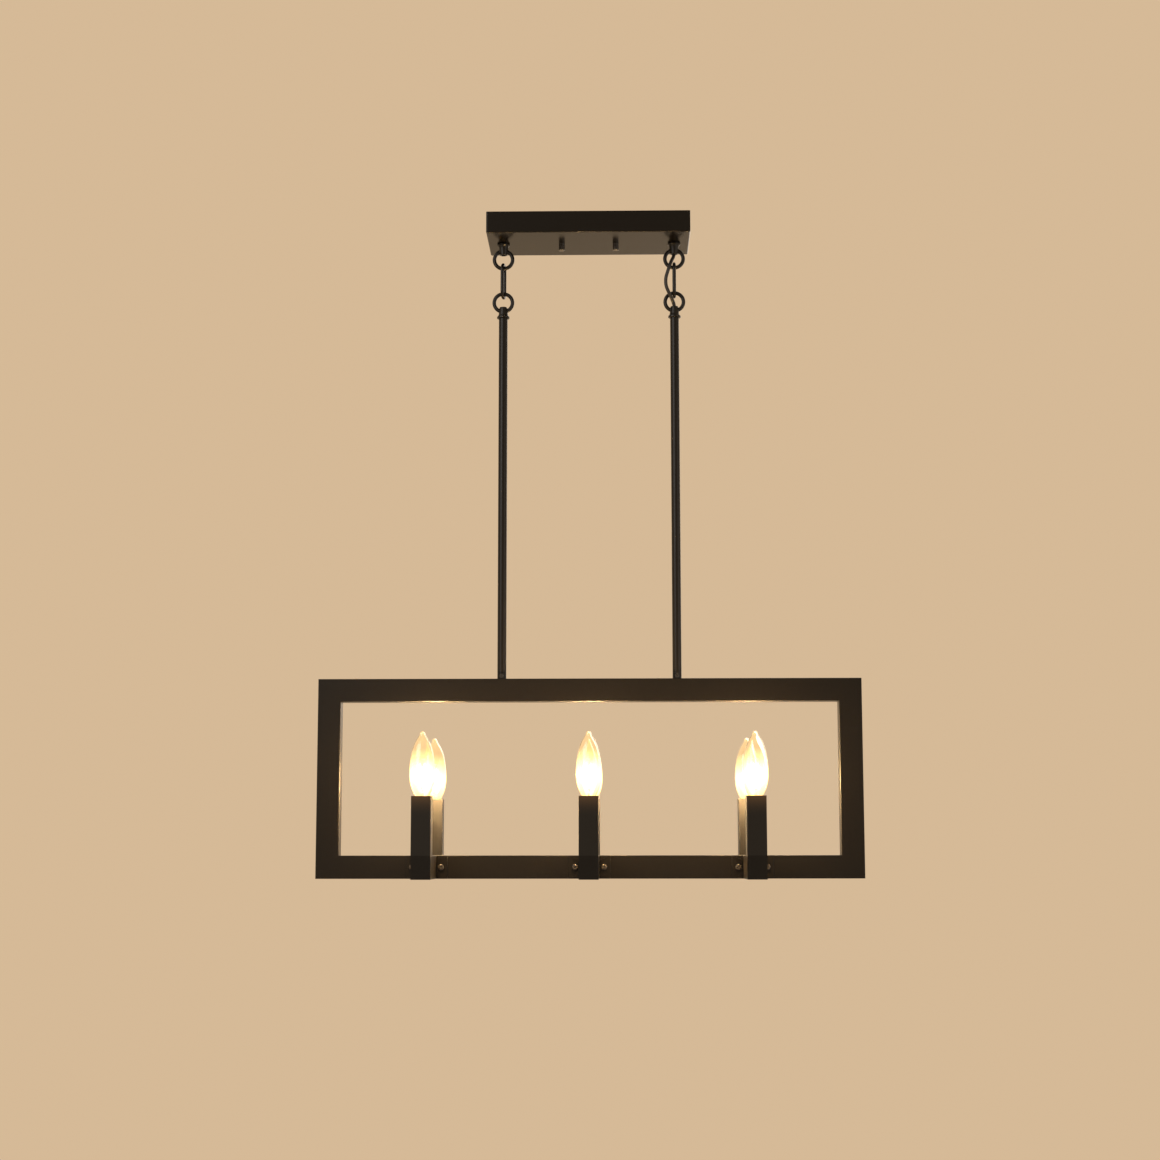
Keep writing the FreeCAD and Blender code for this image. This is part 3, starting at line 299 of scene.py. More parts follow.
def flat_ends(piece, low, high):
    """Cut a piece off flat at two heights, and close it there."""
    select_only(piece)
    bpy.ops.object.mode_set(mode="EDIT")
    for height, inward in ((low, -1), (high, 1)):
        bpy.ops.mesh.select_all(action="SELECT")
        bpy.ops.mesh.bisect(plane_co=(0, 0, height), plane_no=(0, 0, inward), use_fill=True,
                            clear_outer=True, threshold=CUT_THRESHOLD)
    bpy.ops.mesh.select_all(action="SELECT")
    bpy.ops.mesh.normals_make_consistent(inside=False)
    bpy.ops.object.mode_set(mode="OBJECT")


def thread(name, radius, depth, pitch, low, high, sides=32, rounded=False):
    """A screw thread round the Z axis: one tooth's outline, wound up by a Screw modifier.

    A tooth is a triangle, or a wave of eight steps when it is rounded.
    """
    steps = 8 if rounded else 2
    shares = [(1 + math.cos(2 * math.pi * step / steps)) / 2 for step in range(steps + 1)]
    select_only()
    bpy.ops.mesh.primitive_circle_add(vertices=3, radius=depth,
                                      location=(radius - depth, 0, low - pitch))
    piece = bpy.context.object
    piece.name = piece.data.name = name
    bpy.ops.object.transform_apply()
    bpy.ops.object.mode_set(mode="EDIT")
    bpy.ops.mesh.select_mode(type="VERT")
    bpy.ops.mesh.select_all(action="SELECT")
    bpy.ops.mesh.merge(type="CENTER")
    for share, next_share in zip(shares, shares[1:]):
        bpy.ops.mesh.extrude_vertices_move(TRANSFORM_OT_translate={
            "value": (depth * (share - next_share), 0, pitch / steps)})
    bpy.ops.object.mode_set(mode="OBJECT")
    winding = piece.modifiers.new("winding", "SCREW")
    winding.screw_offset = pitch
    winding.iterations = int((high - low) / pitch) + 2
    winding.steps = winding.render_steps = sides
    winding.use_merge_vertices = True
    winding.merge_threshold = MERGE_DISTANCE
    select_only(piece)
    bpy.ops.object.modifier_apply(modifier=winding.name)
    flat_ends(piece, low, high)
    smooth(piece, degrees=50)
    return piece


def copy_to(piece, name, place, turn=0.0):
    """A copy with its own mesh, turned about Z and moved, with its object at the origin."""
    copy = piece.copy()
    copy.data = piece.data.copy()
    copy.name = copy.data.name = name
    copy.data.transform(Matrix.Translation(place) @ Matrix.Rotation(turn, 4, "Z"))
    bpy.context.scene.collection.objects.link(copy)
    return copy


def joined(name, pieces):
    """Join pieces that are one part or one set."""
    select_only(*pieces)
    bpy.ops.object.join()
    whole = bpy.context.object
    whole.name = whole.data.name = name
    return whole


def fit(piece, body, node):
    """Fix a finished piece to its body, in place of a CAD node."""
    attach(piece, body)
    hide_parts(node)


stud = thread("stud", STUD_RADIUS, FINE_THREAD_DEPTH, FINE_PITCH, STUD_FOOT, STUD_TOP, 20)
studs = joined("studs", [copy_to(stud, "stud_copy", (side * STUD_X, 0, 0)) for side in (-1, 1)])
bpy.data.objects.remove(stud)
dress(studs, zinc_steel)
fit(studs, "mounting", "canopy_studs")


# ---------------------------------------------------------------- cap nuts
# Two small turned steel nuts, closed at the lower end. They are screwed on the studs, up to
# the canopy, and blackened like the screws.
screw_black, tree, shader = material("screw_black", (0.016, 0.013, 0.012), 0.3, specular=0.7)
tint(tree, noise(tree, 220, 5), (0.012, 0.010, 0.009), (0.028, 0.023, 0.019),
     shader.inputs["Base Color"])
spread(tree, noise(tree, 500, 5), 0.2, 0.4, shader.inputs["Roughness"])
bump(tree, shader, noise(tree, 1500), 0.000003)
shader.inputs["Coat Weight"].default_value = 0.3
shader.inputs["Coat Roughness"].default_value = 0.15
dress(NODES["cap_nuts"], screw_black)


# ---------------------------------------------------------------- cast loops
# Four cast rings, each on a short neck with a collar and a flange, with soft edges and inner
# corners, painted satin black. Nuts hold the upper two in the canopy, and the lower two are
# screwed into the rods.
CAST_VOXEL = 0.00042

cast_black = black_paint("cast_black", 0.32, 0.28, 0.00003)


def merged_copy(node, name):
    """A copy of a CAD node with its doubles merged, to be refined."""
    piece = bpy.data.objects.new(name, NODES[node].data.copy())
    piece.data.name = name
    bpy.context.scene.collection.objects.link(piece)
    smooth(piece)
    return piece


def as_cast(node, name):
    """A copy of a CAD node with its edges and inner corners softened as in a casting."""
    piece = merged_copy(node, name)
    skin = piece.modifiers.new("skin", "REMESH")
    skin.mode = "VOXEL"
    skin.voxel_size = CAST_VOXEL
    soften = piece.modifiers.new("soften", "SMOOTH")
    soften.factor = 0.5
    soften.iterations = 3
    select_only(piece)
    for modifier in (skin.name, soften.name):
        bpy.ops.object.modifier_apply(modifier=modifier)
    bpy.ops.object.shade_smooth()
    return piece


for level, body in (("upper", "mounting"), ("lower", "hanging_frame")):
    for side in ("left", "right"):
        node = "%s_loop_%s" % (level, side)
        loop = as_cast(node, node + "_cast")
        dress(loop, cast_black)
        fit(loop, body, node)


# ---------------------------------------------------------------- wires in the canopy
# The cord's end comes out of the right loop's stem and bends along the canopy. Its jacket is
# stripped near the end, and two twist-on connectors join its wires to the supply.
LEAD_Z = -0.010
LEAD_SPLINE_STEPS = 10
JACKET_END_X = 0.086
WIRE_RADIUS = 0.00105
CONNECTOR_SIDES = 24
CONNECTOR_MOUTH_X = 0.073
CONNECTOR_MOUTH_RADIUS = 0.0046
CONNECTOR_TIP_X = 0.0515
CONNECTOR_TIP_RADIUS = 0.0031
CONNECTOR_SPACING = 0.0104
CONNECTOR_EDGE = 0.0003
GRIP_INSET = 0.0001
GRIP_HEIGHT = 0.00018


def select_faces(piece, wanted):
    """In edit mode, select just the faces of a piece for which wanted(face) is true."""
    bpy.ops.mesh.select_mode(type="FACE")
    bpy.ops.mesh.select_all(action="DESELECT")
    shape = bmesh.from_edit_mesh(piece.data)
    for face in shape.faces:
        face.select = wanted(face)
    bmesh.update_edit_mesh(piece.data)


def ease_edges(piece, width):
    """Round a piece's sharp edges, and shade it smooth."""
    select_only(piece)
    edge = piece.modifiers.new("edge", "BEVEL")
    edge.width = width
    edge.segments = 2
    edge.limit_method = "ANGLE"
    bpy.ops.object.modifier_apply(modifier=edge.name)
    smooth(piece)


def wire_connector(name, middle_y):
    """A cone along X, of which every other side face stands out as a grip."""
    def is_grip(face):
        middle = face.calc_center_median()
        around = math.atan2(middle.z - LEAD_Z, middle.y - middle_y)
        place = round(around / (2 * math.pi / CONNECTOR_SIDES) - 0.5)
        return len(face.verts) == 4 and place % 2 == 0

    select_only()
    bpy.ops.mesh.primitive_cone_add(
        vertices=CONNECTOR_SIDES, radius1=CONNECTOR_MOUTH_RADIUS, radius2=CONNECTOR_TIP_RADIUS,
        depth=CONNECTOR_MOUTH_X - CONNECTOR_TIP_X,
        location=((CONNECTOR_MOUTH_X + CONNECTOR_TIP_X) / 2, middle_y, LEAD_Z),
        rotation=(0, -math.pi / 2, 0))
    connector = bpy.context.object
    connector.name = connector.data.name = name
    bpy.ops.object.transform_apply()
    bpy.ops.object.mode_set(mode="EDIT")
    select_faces(connector, is_grip)
    bpy.ops.mesh.inset(thickness=GRIP_INSET, use_individual=True)
    bpy.ops.mesh.extrude_faces_move(TRANSFORM_OT_shrink_fatten={"value": GRIP_HEIGHT})
    bpy.ops.object.mode_set(mode="OBJECT")
    ease_edges(connector, CONNECTOR_EDGE)
    return connector


inner_wire, tree, shader = material("inner_wire", (0.014, 0.013, 0.013), 0.4)
tint(tree, noise(tree, 250), (0.010, 0.010, 0.010), (0.022, 0.020, 0.019),
     shader.inputs["Base Color"])
spread(tree, noise(tree, 700), 0.34, 0.5, shader.inputs["Roughness"])
white_wire, tree, shader = material("white_wire", (0.75, 0.74, 0.70), 0.4)
tint(tree, noise(tree, 250), (0.70, 0.68, 0.63), (0.80, 0.79, 0.75), shader.inputs["Base Color"])
spread(tree, noise(tree, 700), 0.34, 0.5, shader.inputs["Roughness"])
connector_grey, tree, shader = material("connector_grey", (0.24, 0.24, 0.25), 0.45)
tint(tree, noise(tree, 300), (0.20, 0.20, 0.21), (0.28, 0.28, 0.29), shader.inputs["Base Color"])
spread(tree, noise(tree, 900), 0.38, 0.55, shader.inputs["Roughness"])

lead_route = [
    Vector((ROD_X, 0, -0.0436)), Vector((ROD_X, 0, -0.0320)), Vector((ROD_X, 0, LEAD_Z - 0.010)),
    Vector((ROD_X - 0.0010, 0, LEAD_Z - 0.0045)), Vector((ROD_X - 0.0045, 0, LEAD_Z - 0.0010)),
    Vector((ROD_X - 0.010, 0, LEAD_Z)), Vector((JACKET_END_X + 0.010, 0, LEAD_Z)),
    Vector((JACKET_END_X, 0, LEAD_Z)),
]
jacket = tube_along("lead_jacket", spline_points(lead_route, LEAD_SPLINE_STEPS),
                    CORD_DIAMETER / 2)
dress(jacket, black_cord)
fit(jacket, "mounting", "canopy_leads")
for side, colour, label in ((-1, inner_wire, "front"), (1, white_wire, "rear")):
    middle_y = side * CONNECTOR_SPACING / 2
    wire_route = [
        Vector((JACKET_END_X + 0.001, side * 0.0011, LEAD_Z)),
        Vector((JACKET_END_X - 0.004, side * 0.0012, LEAD_Z)),
        Vector((JACKET_END_X - 0.008, middle_y * 0.8, LEAD_Z)),
        Vector((CONNECTOR_MOUTH_X + 0.001, middle_y, LEAD_Z)),
        Vector((CONNECTOR_MOUTH_X - 0.008, middle_y, LEAD_Z)),
    ]
    wire = tube_along("lead_wire_" + label, spline_points(wire_route, LEAD_SPLINE_STEPS),
                      WIRE_RADIUS)
    dress(wire, colour)
    fit(wire, "mounting", "canopy_leads")
    connector = wire_connector("wire_connector_" + label, middle_y)
    dress(connector, connector_grey)
    fit(connector, "mounting", "canopy_leads")


# ---------------------------------------------------------------- chain links
# Two oval links bent from round steel wire, whose ends meet at a seam in the rear leg. Each
# hangs in an upper loop and carries a lower one. Painted like the loops.
for name in ("link_left", "link_right"):
    dress(NODES[name], cast_black)


# ---------------------------------------------------------------- rods and their feet
# Two steel tubes in satin powder coat. Each stands on a short stub that is welded to the
# frame, on a hollow threaded stem, and is locked by a small set screw.
frame_black = black_paint("frame_black", 0.34, 0.24, 0.000002)
for name in ("rod_left", "rod_right", "rod_stubs"):
    dress(NODES[name], frame_black)
dress(NODES["rod_stems"], zinc_steel)
dress(NODES["rod_set_screws"], screw_black)


# ---------------------------------------------------------------- rectangular frame
# Four square steel tubes mitred and welded at the corners. The welds are ground flush before
# the powder coat, so no joint shows.
for name in ("frame_top_bar", "frame_bottom_bar", "frame_left_post", "frame_right_post"):
    dress(NODES[name], frame_black)


# ---------------------------------------------------------------- candle arms and plates
# Short square steel tubes, closed at the outer end, that carry the candles before and behind
# the bottom bar. A plate between arm and bar takes the screws.
CANDLES = [(side + "_" + depth, x, y)
           for side, x in (("left", -0.226), ("centre", 0.0), ("right", 0.226))
           for depth, y in (("front", -0.091), ("rear", 0.091))]
PLATE_EDGE = 0.0004

for candle, _, _ in CANDLES:
    dress(NODES["arm_" + candle], frame_black)
arm_plates = merged_copy("arm_plates", "eased_arm_plates")
ease_edges(arm_plates, PLATE_EDGE)
dress(arm_plates, frame_black)
fit(arm_plates, "hanging_frame", "arm_plates")


# ---------------------------------------------------------------- arm screws
# Twelve pan head screws with cross recesses, two through each plate. Blackened steel; the
# heads catch small glints from the bulbs.
BAR_MIDDLE_Z = -0.9258
PLATE_FACE_Y = 0.0145
SCREW_SPACING = 0.040
HEAD_RADIUS = 0.0042
HEAD_HEIGHT = 0.0028
HEAD_EDGE = 0.0014
CROWN_INSET = 0.00126
CROWN_HEIGHT = 0.000336
SHANK_RADIUS = 0.00195
SHANK_LENGTH = 0.007
RECESS_REACH = 0.0023
RECESS_WIDTH = 0.0009
RECESS_DEPTH = 0.0015
RECESS_TAPER = (0.35, 0.8, 1)


def pan_head_screw():
    """A screw with its head towards +Z and its seat at the origin."""
    select_only()
    bpy.ops.mesh.primitive_cylinder_add(vertices=40, radius=HEAD_RADIUS, depth=HEAD_HEIGHT,
                                        location=(0, 0, HEAD_HEIGHT / 2))
    head = bpy.context.object
    head.name = "head"
    bpy.ops.object.transform_apply()
    bpy.ops.object.mode_set(mode="EDIT")
    select_faces(head, lambda face: face.normal.z > 0.9)
    bpy.ops.mesh.inset(thickness=CROWN_INSET)
    bpy.ops.transform.translate(value=(0, 0, CROWN_HEIGHT))
    bpy.ops.mesh.select_all(action="DESELECT")
    shape = bmesh.from_edit_mesh(head.data)
    for edge in shape.edges:
        heights = [vertex.co.z for vertex in edge.verts]
        reach = min(vertex.co.to_2d().length for vertex in edge.verts)
        edge.select = min(heights) > HEAD_HEIGHT * 0.9 and reach > HEAD_RADIUS * 0.95
    bpy.ops.mesh.select_mode(type="EDGE")
    bmesh.update_edit_mesh(head.data)
    bpy.ops.mesh.bevel(offset=HEAD_EDGE, segments=5)
    bpy.ops.object.mode_set(mode="OBJECT")
    select_only()
    bpy.ops.mesh.primitive_cube_add(size=2)
    recess = bpy.context.object
    recess.name = "recess"
    recess.scale = (RECESS_REACH, RECESS_WIDTH / 2, RECESS_DEPTH)
    recess.location = (0, 0, HEAD_HEIGHT + CROWN_HEIGHT)
    bpy.ops.object.transform_apply()
    bpy.ops.object.mode_set(mode="EDIT")
    select_faces(recess, lambda face: face.normal.z < -0.9)
    bpy.ops.transform.resize(value=RECESS_TAPER)
    bpy.ops.object.mode_set(mode="OBJECT")
    for turn in (0, math.pi / 2):
        tool = copy_to(recess, "recess_copy", (0, 0, 0), turn)
        carve = head.modifiers.new("carve", "BOOLEAN")
        carve.operation = "DIFFERENCE"
        carve.solver = "EXACT"
        carve.object = tool
        select_only(head)
        bpy.ops.object.modifier_apply(modifier=carve.name)
        bpy.data.objects.remove(tool)
    bpy.data.objects.remove(recess)
    shank = thread("shank", SHANK_RADIUS, FINE_THREAD_DEPTH, FINE_PITCH, -SHANK_LENGTH, 0.0, 16)
    screw = joined("pan_head_screw", [shank, head])
    smooth(screw, degrees=32)
    return screw


screw = pan_head_screw()
screws = []
random.seed(7)
for _, x, y in CANDLES:
    side = math.copysign(1, y)
    for across in (-1, 1):
        place = Vector((x + across * SCREW_SPACING / 2, side * PLATE_FACE_Y, BAR_MIDDLE_Z))
        copy = copy_to(screw, "arm_screw_copy", (0, 0, 0), random.uniform(0, math.pi / 2))
        copy.data.transform(Matrix.Translation(place) @ Matrix.Rotation(
            -side * math.pi / 2, 4, "X"))
        screws.append(copy)
bpy.data.objects.remove(screw)
arm_screws = joined("pan_head_screws", screws)
dress(arm_screws, screw_black)
fit(arm_screws, "hanging_frame", "arm_screws")


# ---------------------------------------------------------------- candle sleeves
# Six square steel tubes, open at both ends, that stand on the arms round the lamp holders.
# Their tops carry a painted glow, a warm emission fading downwards, for the bulbs' light above.
SLEEVE_TOP_Z = -0.8298
SLEEVE_PAINTED_GLOW_REACH = 0.030
SLEEVE_PAINTED_GLOW_FALL = 2.4
SLEEVE_PAINTED_GLOW_STRENGTH = 0.07
SLEEVE_PAINTED_GLOW_COLOUR = (1.0, 0.46, 0.15)


def share_of_height(tree, low, high):
    """How far a point lies between two heights, from 0 to 1."""
    place = tree.nodes.new("ShaderNodeTexCoord")
    parts = tree.nodes.new("ShaderNodeSeparateXYZ")
    share = tree.nodes.new("ShaderNodeMapRange")
    share.inputs["From Min"].default_value = low
    share.inputs["From Max"].default_value = high
    tree.links.new(place.outputs["Object"], parts.inputs["Vector"])
    tree.links.new(parts.outputs["Z"], share.inputs["Value"])
    return share.outputs["Result"]


sleeve_black = black_paint("sleeve_black", 0.38, 0.36, 0.000002)
tree = sleeve_black.node_tree
shader = tree.nodes["Principled BSDF"]
# painted glow: the sleeve paint emits warm light at the top, fading to nothing 30 mm lower, in
# place of the bulbs' light
shader.inputs["Emission Color"].default_value = (*SLEEVE_PAINTED_GLOW_COLOUR, 1)
painted_glow_fading = tree.nodes.new("ShaderNodeMath")
painted_glow_fading.operation = "POWER"
painted_glow_fading.inputs[1].default_value = SLEEVE_PAINTED_GLOW_FALL
tree.links.new(share_of_height(tree, SLEEVE_TOP_Z - SLEEVE_PAINTED_GLOW_REACH, SLEEVE_TOP_Z),
               painted_glow_fading.inputs[0])
spread(tree, painted_glow_fading.outputs["Value"], 0.0, SLEEVE_PAINTED_GLOW_STRENGTH,
       shader.inputs["Emission Strength"], 0.0, 1.0)
for candle, _, _ in CANDLES:
    dress(NODES["sleeve_" + candle], sleeve_black)


# ---------------------------------------------------------------- lamp holders
# Moulded black candelabra sockets with a brass screw shell inside, each on a hollow threaded
# nipple. A plate on the nipple keeps the sleeve in line.
SOCKET_TOP_Z = -0.8381
SOCKET_HEIGHT = 0.045
SOCKET_RADIUS = 0.010
SOCKET_EDGE = 0.0004
BULB_WELL_RADIUS = 0.00625
BULB_WELL_DEPTH = 0.021
NIPPLE_WELL_RADIUS = 0.00495
NIPPLE_WELL_DEPTH = 0.008

socket_plastic, tree, shader = material("socket_plastic", (0.022, 0.020, 0.019), 0.5)
tint(tree, noise(tree, 150), (0.017, 0.016, 0.015), (0.030, 0.027, 0.025),
     shader.inputs["Base Color"])
spread(tree, noise(tree, 500), 0.42, 0.6, shader.inputs["Roughness"])
bump(tree, shader, noise(tree, 1200), 0.00002)


def brass(name, first, second):
    """Thin drawn brass, a little uneven."""
    finish, tree, shader = material(name, first, 0.28, metallic=1.0)
    tint(tree, noise(tree, 260, 5), first, second, shader.inputs["Base Color"])
    spread(tree, noise(tree, 600, 5), 0.2, 0.4, shader.inputs["Roughness"])
    bump(tree, shader, noise(tree, 1500), 0.000008)
    return finish


shell_brass = brass("bulb_base", (0.72, 0.55, 0.30), (0.82, 0.66, 0.38))

select_only()
bpy.ops.mesh.primitive_cylinder_add(
    vertices=48, radius=SOCKET_RADIUS, depth=SOCKET_HEIGHT,
    location=(0, 0, SOCKET_TOP_Z - SOCKET_HEIGHT / 2))
socket = bpy.context.object
socket.name = "socket"
bpy.ops.object.transform_apply()
bpy.ops.object.mode_set(mode="EDIT")
for outward, radius, depth in (
    (1, BULB_WELL_RADIUS, BULB_WELL_DEPTH), (-1, NIPPLE_WELL_RADIUS, NIPPLE_WELL_DEPTH),
):
    select_faces(socket, lambda face: face.normal.z * outward > 0.9)
    bpy.ops.mesh.inset(thickness=SOCKET_RADIUS - radius)
    bpy.ops.mesh.extrude_region_move(
        TRANSFORM_OT_translate={"value": (0, 0, -outward * depth)})
bpy.ops.object.mode_set(mode="OBJECT")
ease_edges(socket, SOCKET_EDGE)
for candle, x, y in CANDLES:
    copy = copy_to(socket, "socket_" + candle, (x, y, 0))
    dress(copy, socket_plastic)
    fit(copy, "hanging_frame", "lamp_sockets")
bpy.data.objects.remove(socket)

dress(NODES["socket_nipples"], zinc_steel)
dress(NODES["frame_harness"], black_cord)


# ---------------------------------------------------------------- bulb glass
# Six clear candle bulbs blown in thin glass, drawn to a small tip, each cemented in its base.
# The glass near the filaments glows warm.
BULB_FOOT_Z = -0.8378
GLASS_HEIGHT = 0.096
GLASS_RADIUS = 0.0175
GLASS_WALL = 0.0009
GLASS_PROFILE = [
    (0.0, 0.40),
    (0.04, 0.47),
    (0.083, 0.56),
    (0.145, 0.72),
    (0.21, 0.87),
    (0.285, 0.96),
    (0.36, 1.0),
    (0.46, 0.995),
    (0.57, 0.95),
    (0.64, 0.90),
    (0.71, 0.83),
    (0.77, 0.745),
    (0.82, 0.64),
    (0.86, 0.53),
    (0.90, 0.40),
    (0.925, 0.31),
    (0.945, 0.245),
    (0.96, 0.215),
    (0.975, 0.20),
    (0.99, 0.15),
    (0.998, 0.06),
]
GLASS_IOR = 1.47
GLOW_COLOUR = (1.0, 0.60, 0.20)
GLOW_STRENGTH = 1.3
GLOW_FOOT = 0.10
GLOW_TIP = 0.16
GLOW_BETWEEN = [
    (0.20, 0.60),
    (0.38, 1.0),
    (0.50, 0.60),
    (0.62, 0.20),
    (0.76, 0.06),
    (0.93, 0.08),
]


def mixed(tree, share, first, second):
    """A mix of two shaders: the first where the share is 0, the second where it is 1."""
    either = tree.nodes.new("ShaderNodeMixShader")
    tree.links.new(share, either.inputs["Fac"])
    tree.links.new(first, either.inputs[1])
    tree.links.new(second, either.inputs[2])
    return either.outputs["Shader"]


bulb_glass, tree, shader = material("bulb_glass", (1.0, 0.96, 0.88), 0.0)
shader.inputs["Transmission Weight"].default_value = 1.0
shader.inputs["IOR"].default_value = GLASS_IOR
shader.inputs["Emission Color"].default_value = (*GLOW_COLOUR, 1)
glow = tree.nodes.new("ShaderNodeValToRGB")
stops = glow.color_ramp.elements
stops[0].color = (GLOW_FOOT, GLOW_FOOT, GLOW_FOOT, 1)
stops[1].color = (GLOW_TIP, GLOW_TIP, GLOW_TIP, 1)
for position, strength in GLOW_BETWEEN:
    stop = stops.new(position)
    stop.color = (strength, strength, strength, 1)
tree.links.new(share_of_height(tree, BULB_FOOT_Z, BULB_FOOT_Z + GLASS_HEIGHT), glow.inputs["Fac"])
spread(tree, noise(tree, 60), 0.0, 0.03, shader.inputs["Roughness"])

# light from the filaments and from the paint's reflections goes through the glass unbent
clear = tree.nodes.new("ShaderNodeBsdfTransparent")
shine = tree.nodes.new("ShaderNodeEmission")
shine.inputs["Color"].default_value = (*GLOW_COLOUR, 1)
for strength in (shader.inputs["Emission Strength"], shine.inputs["Strength"]):
    spread(tree, glow.outputs["Color"], 0.0, GLOW_STRENGTH, strength, 0.0, 1.0)
clear_shine = tree.nodes.new("ShaderNodeAddShader")
tree.links.new(clear.outputs["BSDF"], clear_shine.inputs[0])
tree.links.new(shine.outputs["Emission"], clear_shine.inputs[1])
rays = tree.nodes.new("ShaderNodeLightPath")
surface = shader.outputs["BSDF"]
for label, other in (
    ("Is Reflection Ray", clear_shine.outputs["Shader"]), ("Is Shadow Ray", clear.outputs["BSDF"]),
):
    surface = mixed(tree, rays.outputs[label], surface, other)
tree.links.new(surface, tree.nodes["Material Output"].inputs["Surface"])

select_only()
bpy.ops.mesh.primitive_circle_add(
    vertices=32, radius=GLASS_RADIUS * GLASS_PROFILE[0][1], location=(0, 0, BULB_FOOT_Z))
glass = bpy.context.object
glass.name = "glass"
bpy.ops.object.transform_apply()
bpy.ops.object.mode_set(mode="EDIT")
bpy.ops.mesh.select_mode(type="EDGE")
bpy.ops.mesh.select_all(action="SELECT")
for (height, width), (next_height, next_width) in zip(GLASS_PROFILE, GLASS_PROFILE[1:]):
    rise = (next_height - height) * GLASS_HEIGHT
    bpy.ops.mesh.extrude_region_move(TRANSFORM_OT_translate={"value": (0, 0, rise)})
    bpy.ops.transform.resize(value=(next_width / width, next_width / width, 1))
bpy.ops.mesh.edge_face_add()
bpy.ops.mesh.select_all(action="SELECT")
bpy.ops.mesh.normals_make_consistent(inside=False)
bpy.ops.object.mode_set(mode="OBJECT")
wall = glass.modifiers.new("wall", "SOLIDIFY")
wall.thickness = GLASS_WALL
wall.offset = -1
wall.use_even_offset = False
bpy.ops.object.modifier_apply(modifier=wall.name)
soft = glass.modifiers.new("soft", "SUBSURF")
soft.levels = soft.render_levels = 1
bpy.ops.object.modifier_apply(modifier=soft.name)
bpy.ops.object.shade_smooth()
for candle, x, y in CANDLES:
    copy = copy_to(glass, "glass_" + candle, (x, y, 0))
    dress(copy, bulb_glass)
    fit(copy, "bulb_" + candle, "bulb_glass_" + candle)
bpy.data.objects.remove(glass)


# ---------------------------------------------------------------- bulb bases
# The candelabra screw base of each bulb: a rolled brass shell, a black glass insulator and
# the round centre contact. They sit inside the sockets.
BASE_RADIUS = 0.00585
BASE_THREAD_DEPTH = 0.00055
BASE_PITCH = 0.00254
BASE_HEIGHT = 0.017
BASE_COLLAR_HEIGHT = 0.0016
INSULATOR_HEIGHT = 0.0016
THREAD_RUN_OUT = 0.0015
COLLAR_PROFILE = [
    (0.00555, -0.0018),
    (0.00585, -0.0012),
    (0.00585, -0.0002),
    (0.0061, 0.0),
    (0.0061, 0.0013),
    (0.0058, 0.0016),
]
INSULATOR_PROFILE = [
    (0.00545, 0.0004),
    (0.00545, 0.0),
    (0.00515, -0.0005),
    (0.0042, -0.0016),
]
CONTACT_PROFILE = [
    (0.00225, 0.0002),
    (0.00225, -0.0003),
    (0.0020925, -0.0008),
    (0.00162, -0.0012),
    (0.000675, -0.0014),
]

insulator_black, tree, shader = material("insulator_black", (0.010, 0.010, 0.011), 0.12)
tint(tree, noise(tree, 300), (0.008, 0.008, 0.009), (0.016, 0.015, 0.015),
     shader.inputs["Base Color"])
spread(tree, noise(tree, 500), 0.08, 0.2, shader.inputs["Roughness"])
contact_tin, tree, shader = material("contact_tin", (0.62, 0.61, 0.58), 0.35, metallic=1.0)
tint(tree, noise(tree, 500), (0.52, 0.51, 0.49), (0.70, 0.69, 0.66), shader.inputs["Base Color"])
spread(tree, noise(tree, 900), 0.28, 0.5, shader.inputs["Roughness"])


def turned(name, profile, foot, vertices=32):
    """A solid turned about Z: a circle extruded and resized through (radius, height) pairs.

    The heights are measured from the foot.
    """
    select_only()
    radius, height = profile[0]
    bpy.ops.mesh.primitive_circle_add(vertices=vertices, radius=radius, fill_type="NGON",
                                      location=(0, 0, foot + height))
    piece = bpy.context.object
    piece.name = piece.data.name = name
    bpy.ops.object.transform_apply()
    bpy.ops.object.mode_set(mode="EDIT")
    bpy.ops.mesh.select_mode(type="FACE")
    bpy.ops.mesh.select_all(action="SELECT")
    for (radius, height), (next_radius, next_height) in zip(profile, profile[1:]):
        bpy.ops.mesh.extrude_region_move(
            TRANSFORM_OT_translate={"value": (0, 0, next_height - height)})
        share = next_radius / radius
        bpy.ops.transform.resize(value=(share, share, 1))
    bpy.ops.mesh.select_all(action="SELECT")
    bpy.ops.mesh.normals_make_consistent(inside=False)
    bpy.ops.object.mode_set(mode="OBJECT")
    smooth(piece)
    return piece


base_foot = BULB_FOOT_Z - BASE_HEIGHT
shell = thread("shell", BASE_RADIUS, BASE_THREAD_DEPTH, BASE_PITCH, base_foot,
               BULB_FOOT_Z - THREAD_RUN_OUT, 32, rounded=True)
collar = turned("collar", COLLAR_PROFILE, BULB_FOOT_Z)
insulator = turned("insulator", INSULATOR_PROFILE, base_foot)
contact = turned("contact", CONTACT_PROFILE, base_foot - INSULATOR_HEIGHT, 20)
for candle, x, y in CANDLES:
    threaded = joined("base_shell_" + candle, [
        copy_to(shell, "shell_copy", (x, y, 0)), copy_to(collar, "collar_copy", (x, y, 0))])
    dress(threaded, shell_brass)
    fit(threaded, "bulb_" + candle, "bulb_base_" + candle)
    for source, label, finish in (
        (insulator, "insulator_", insulator_black), (contact, "contact_", contact_tin),
    ):
        copy = copy_to(source, label + candle, (x, y, 0))
        dress(copy, finish)
        fit(copy, "bulb_" + candle, "bulb_base_" + candle)
for source in (shell, collar, insulator, contact):
    bpy.data.objects.remove(source)


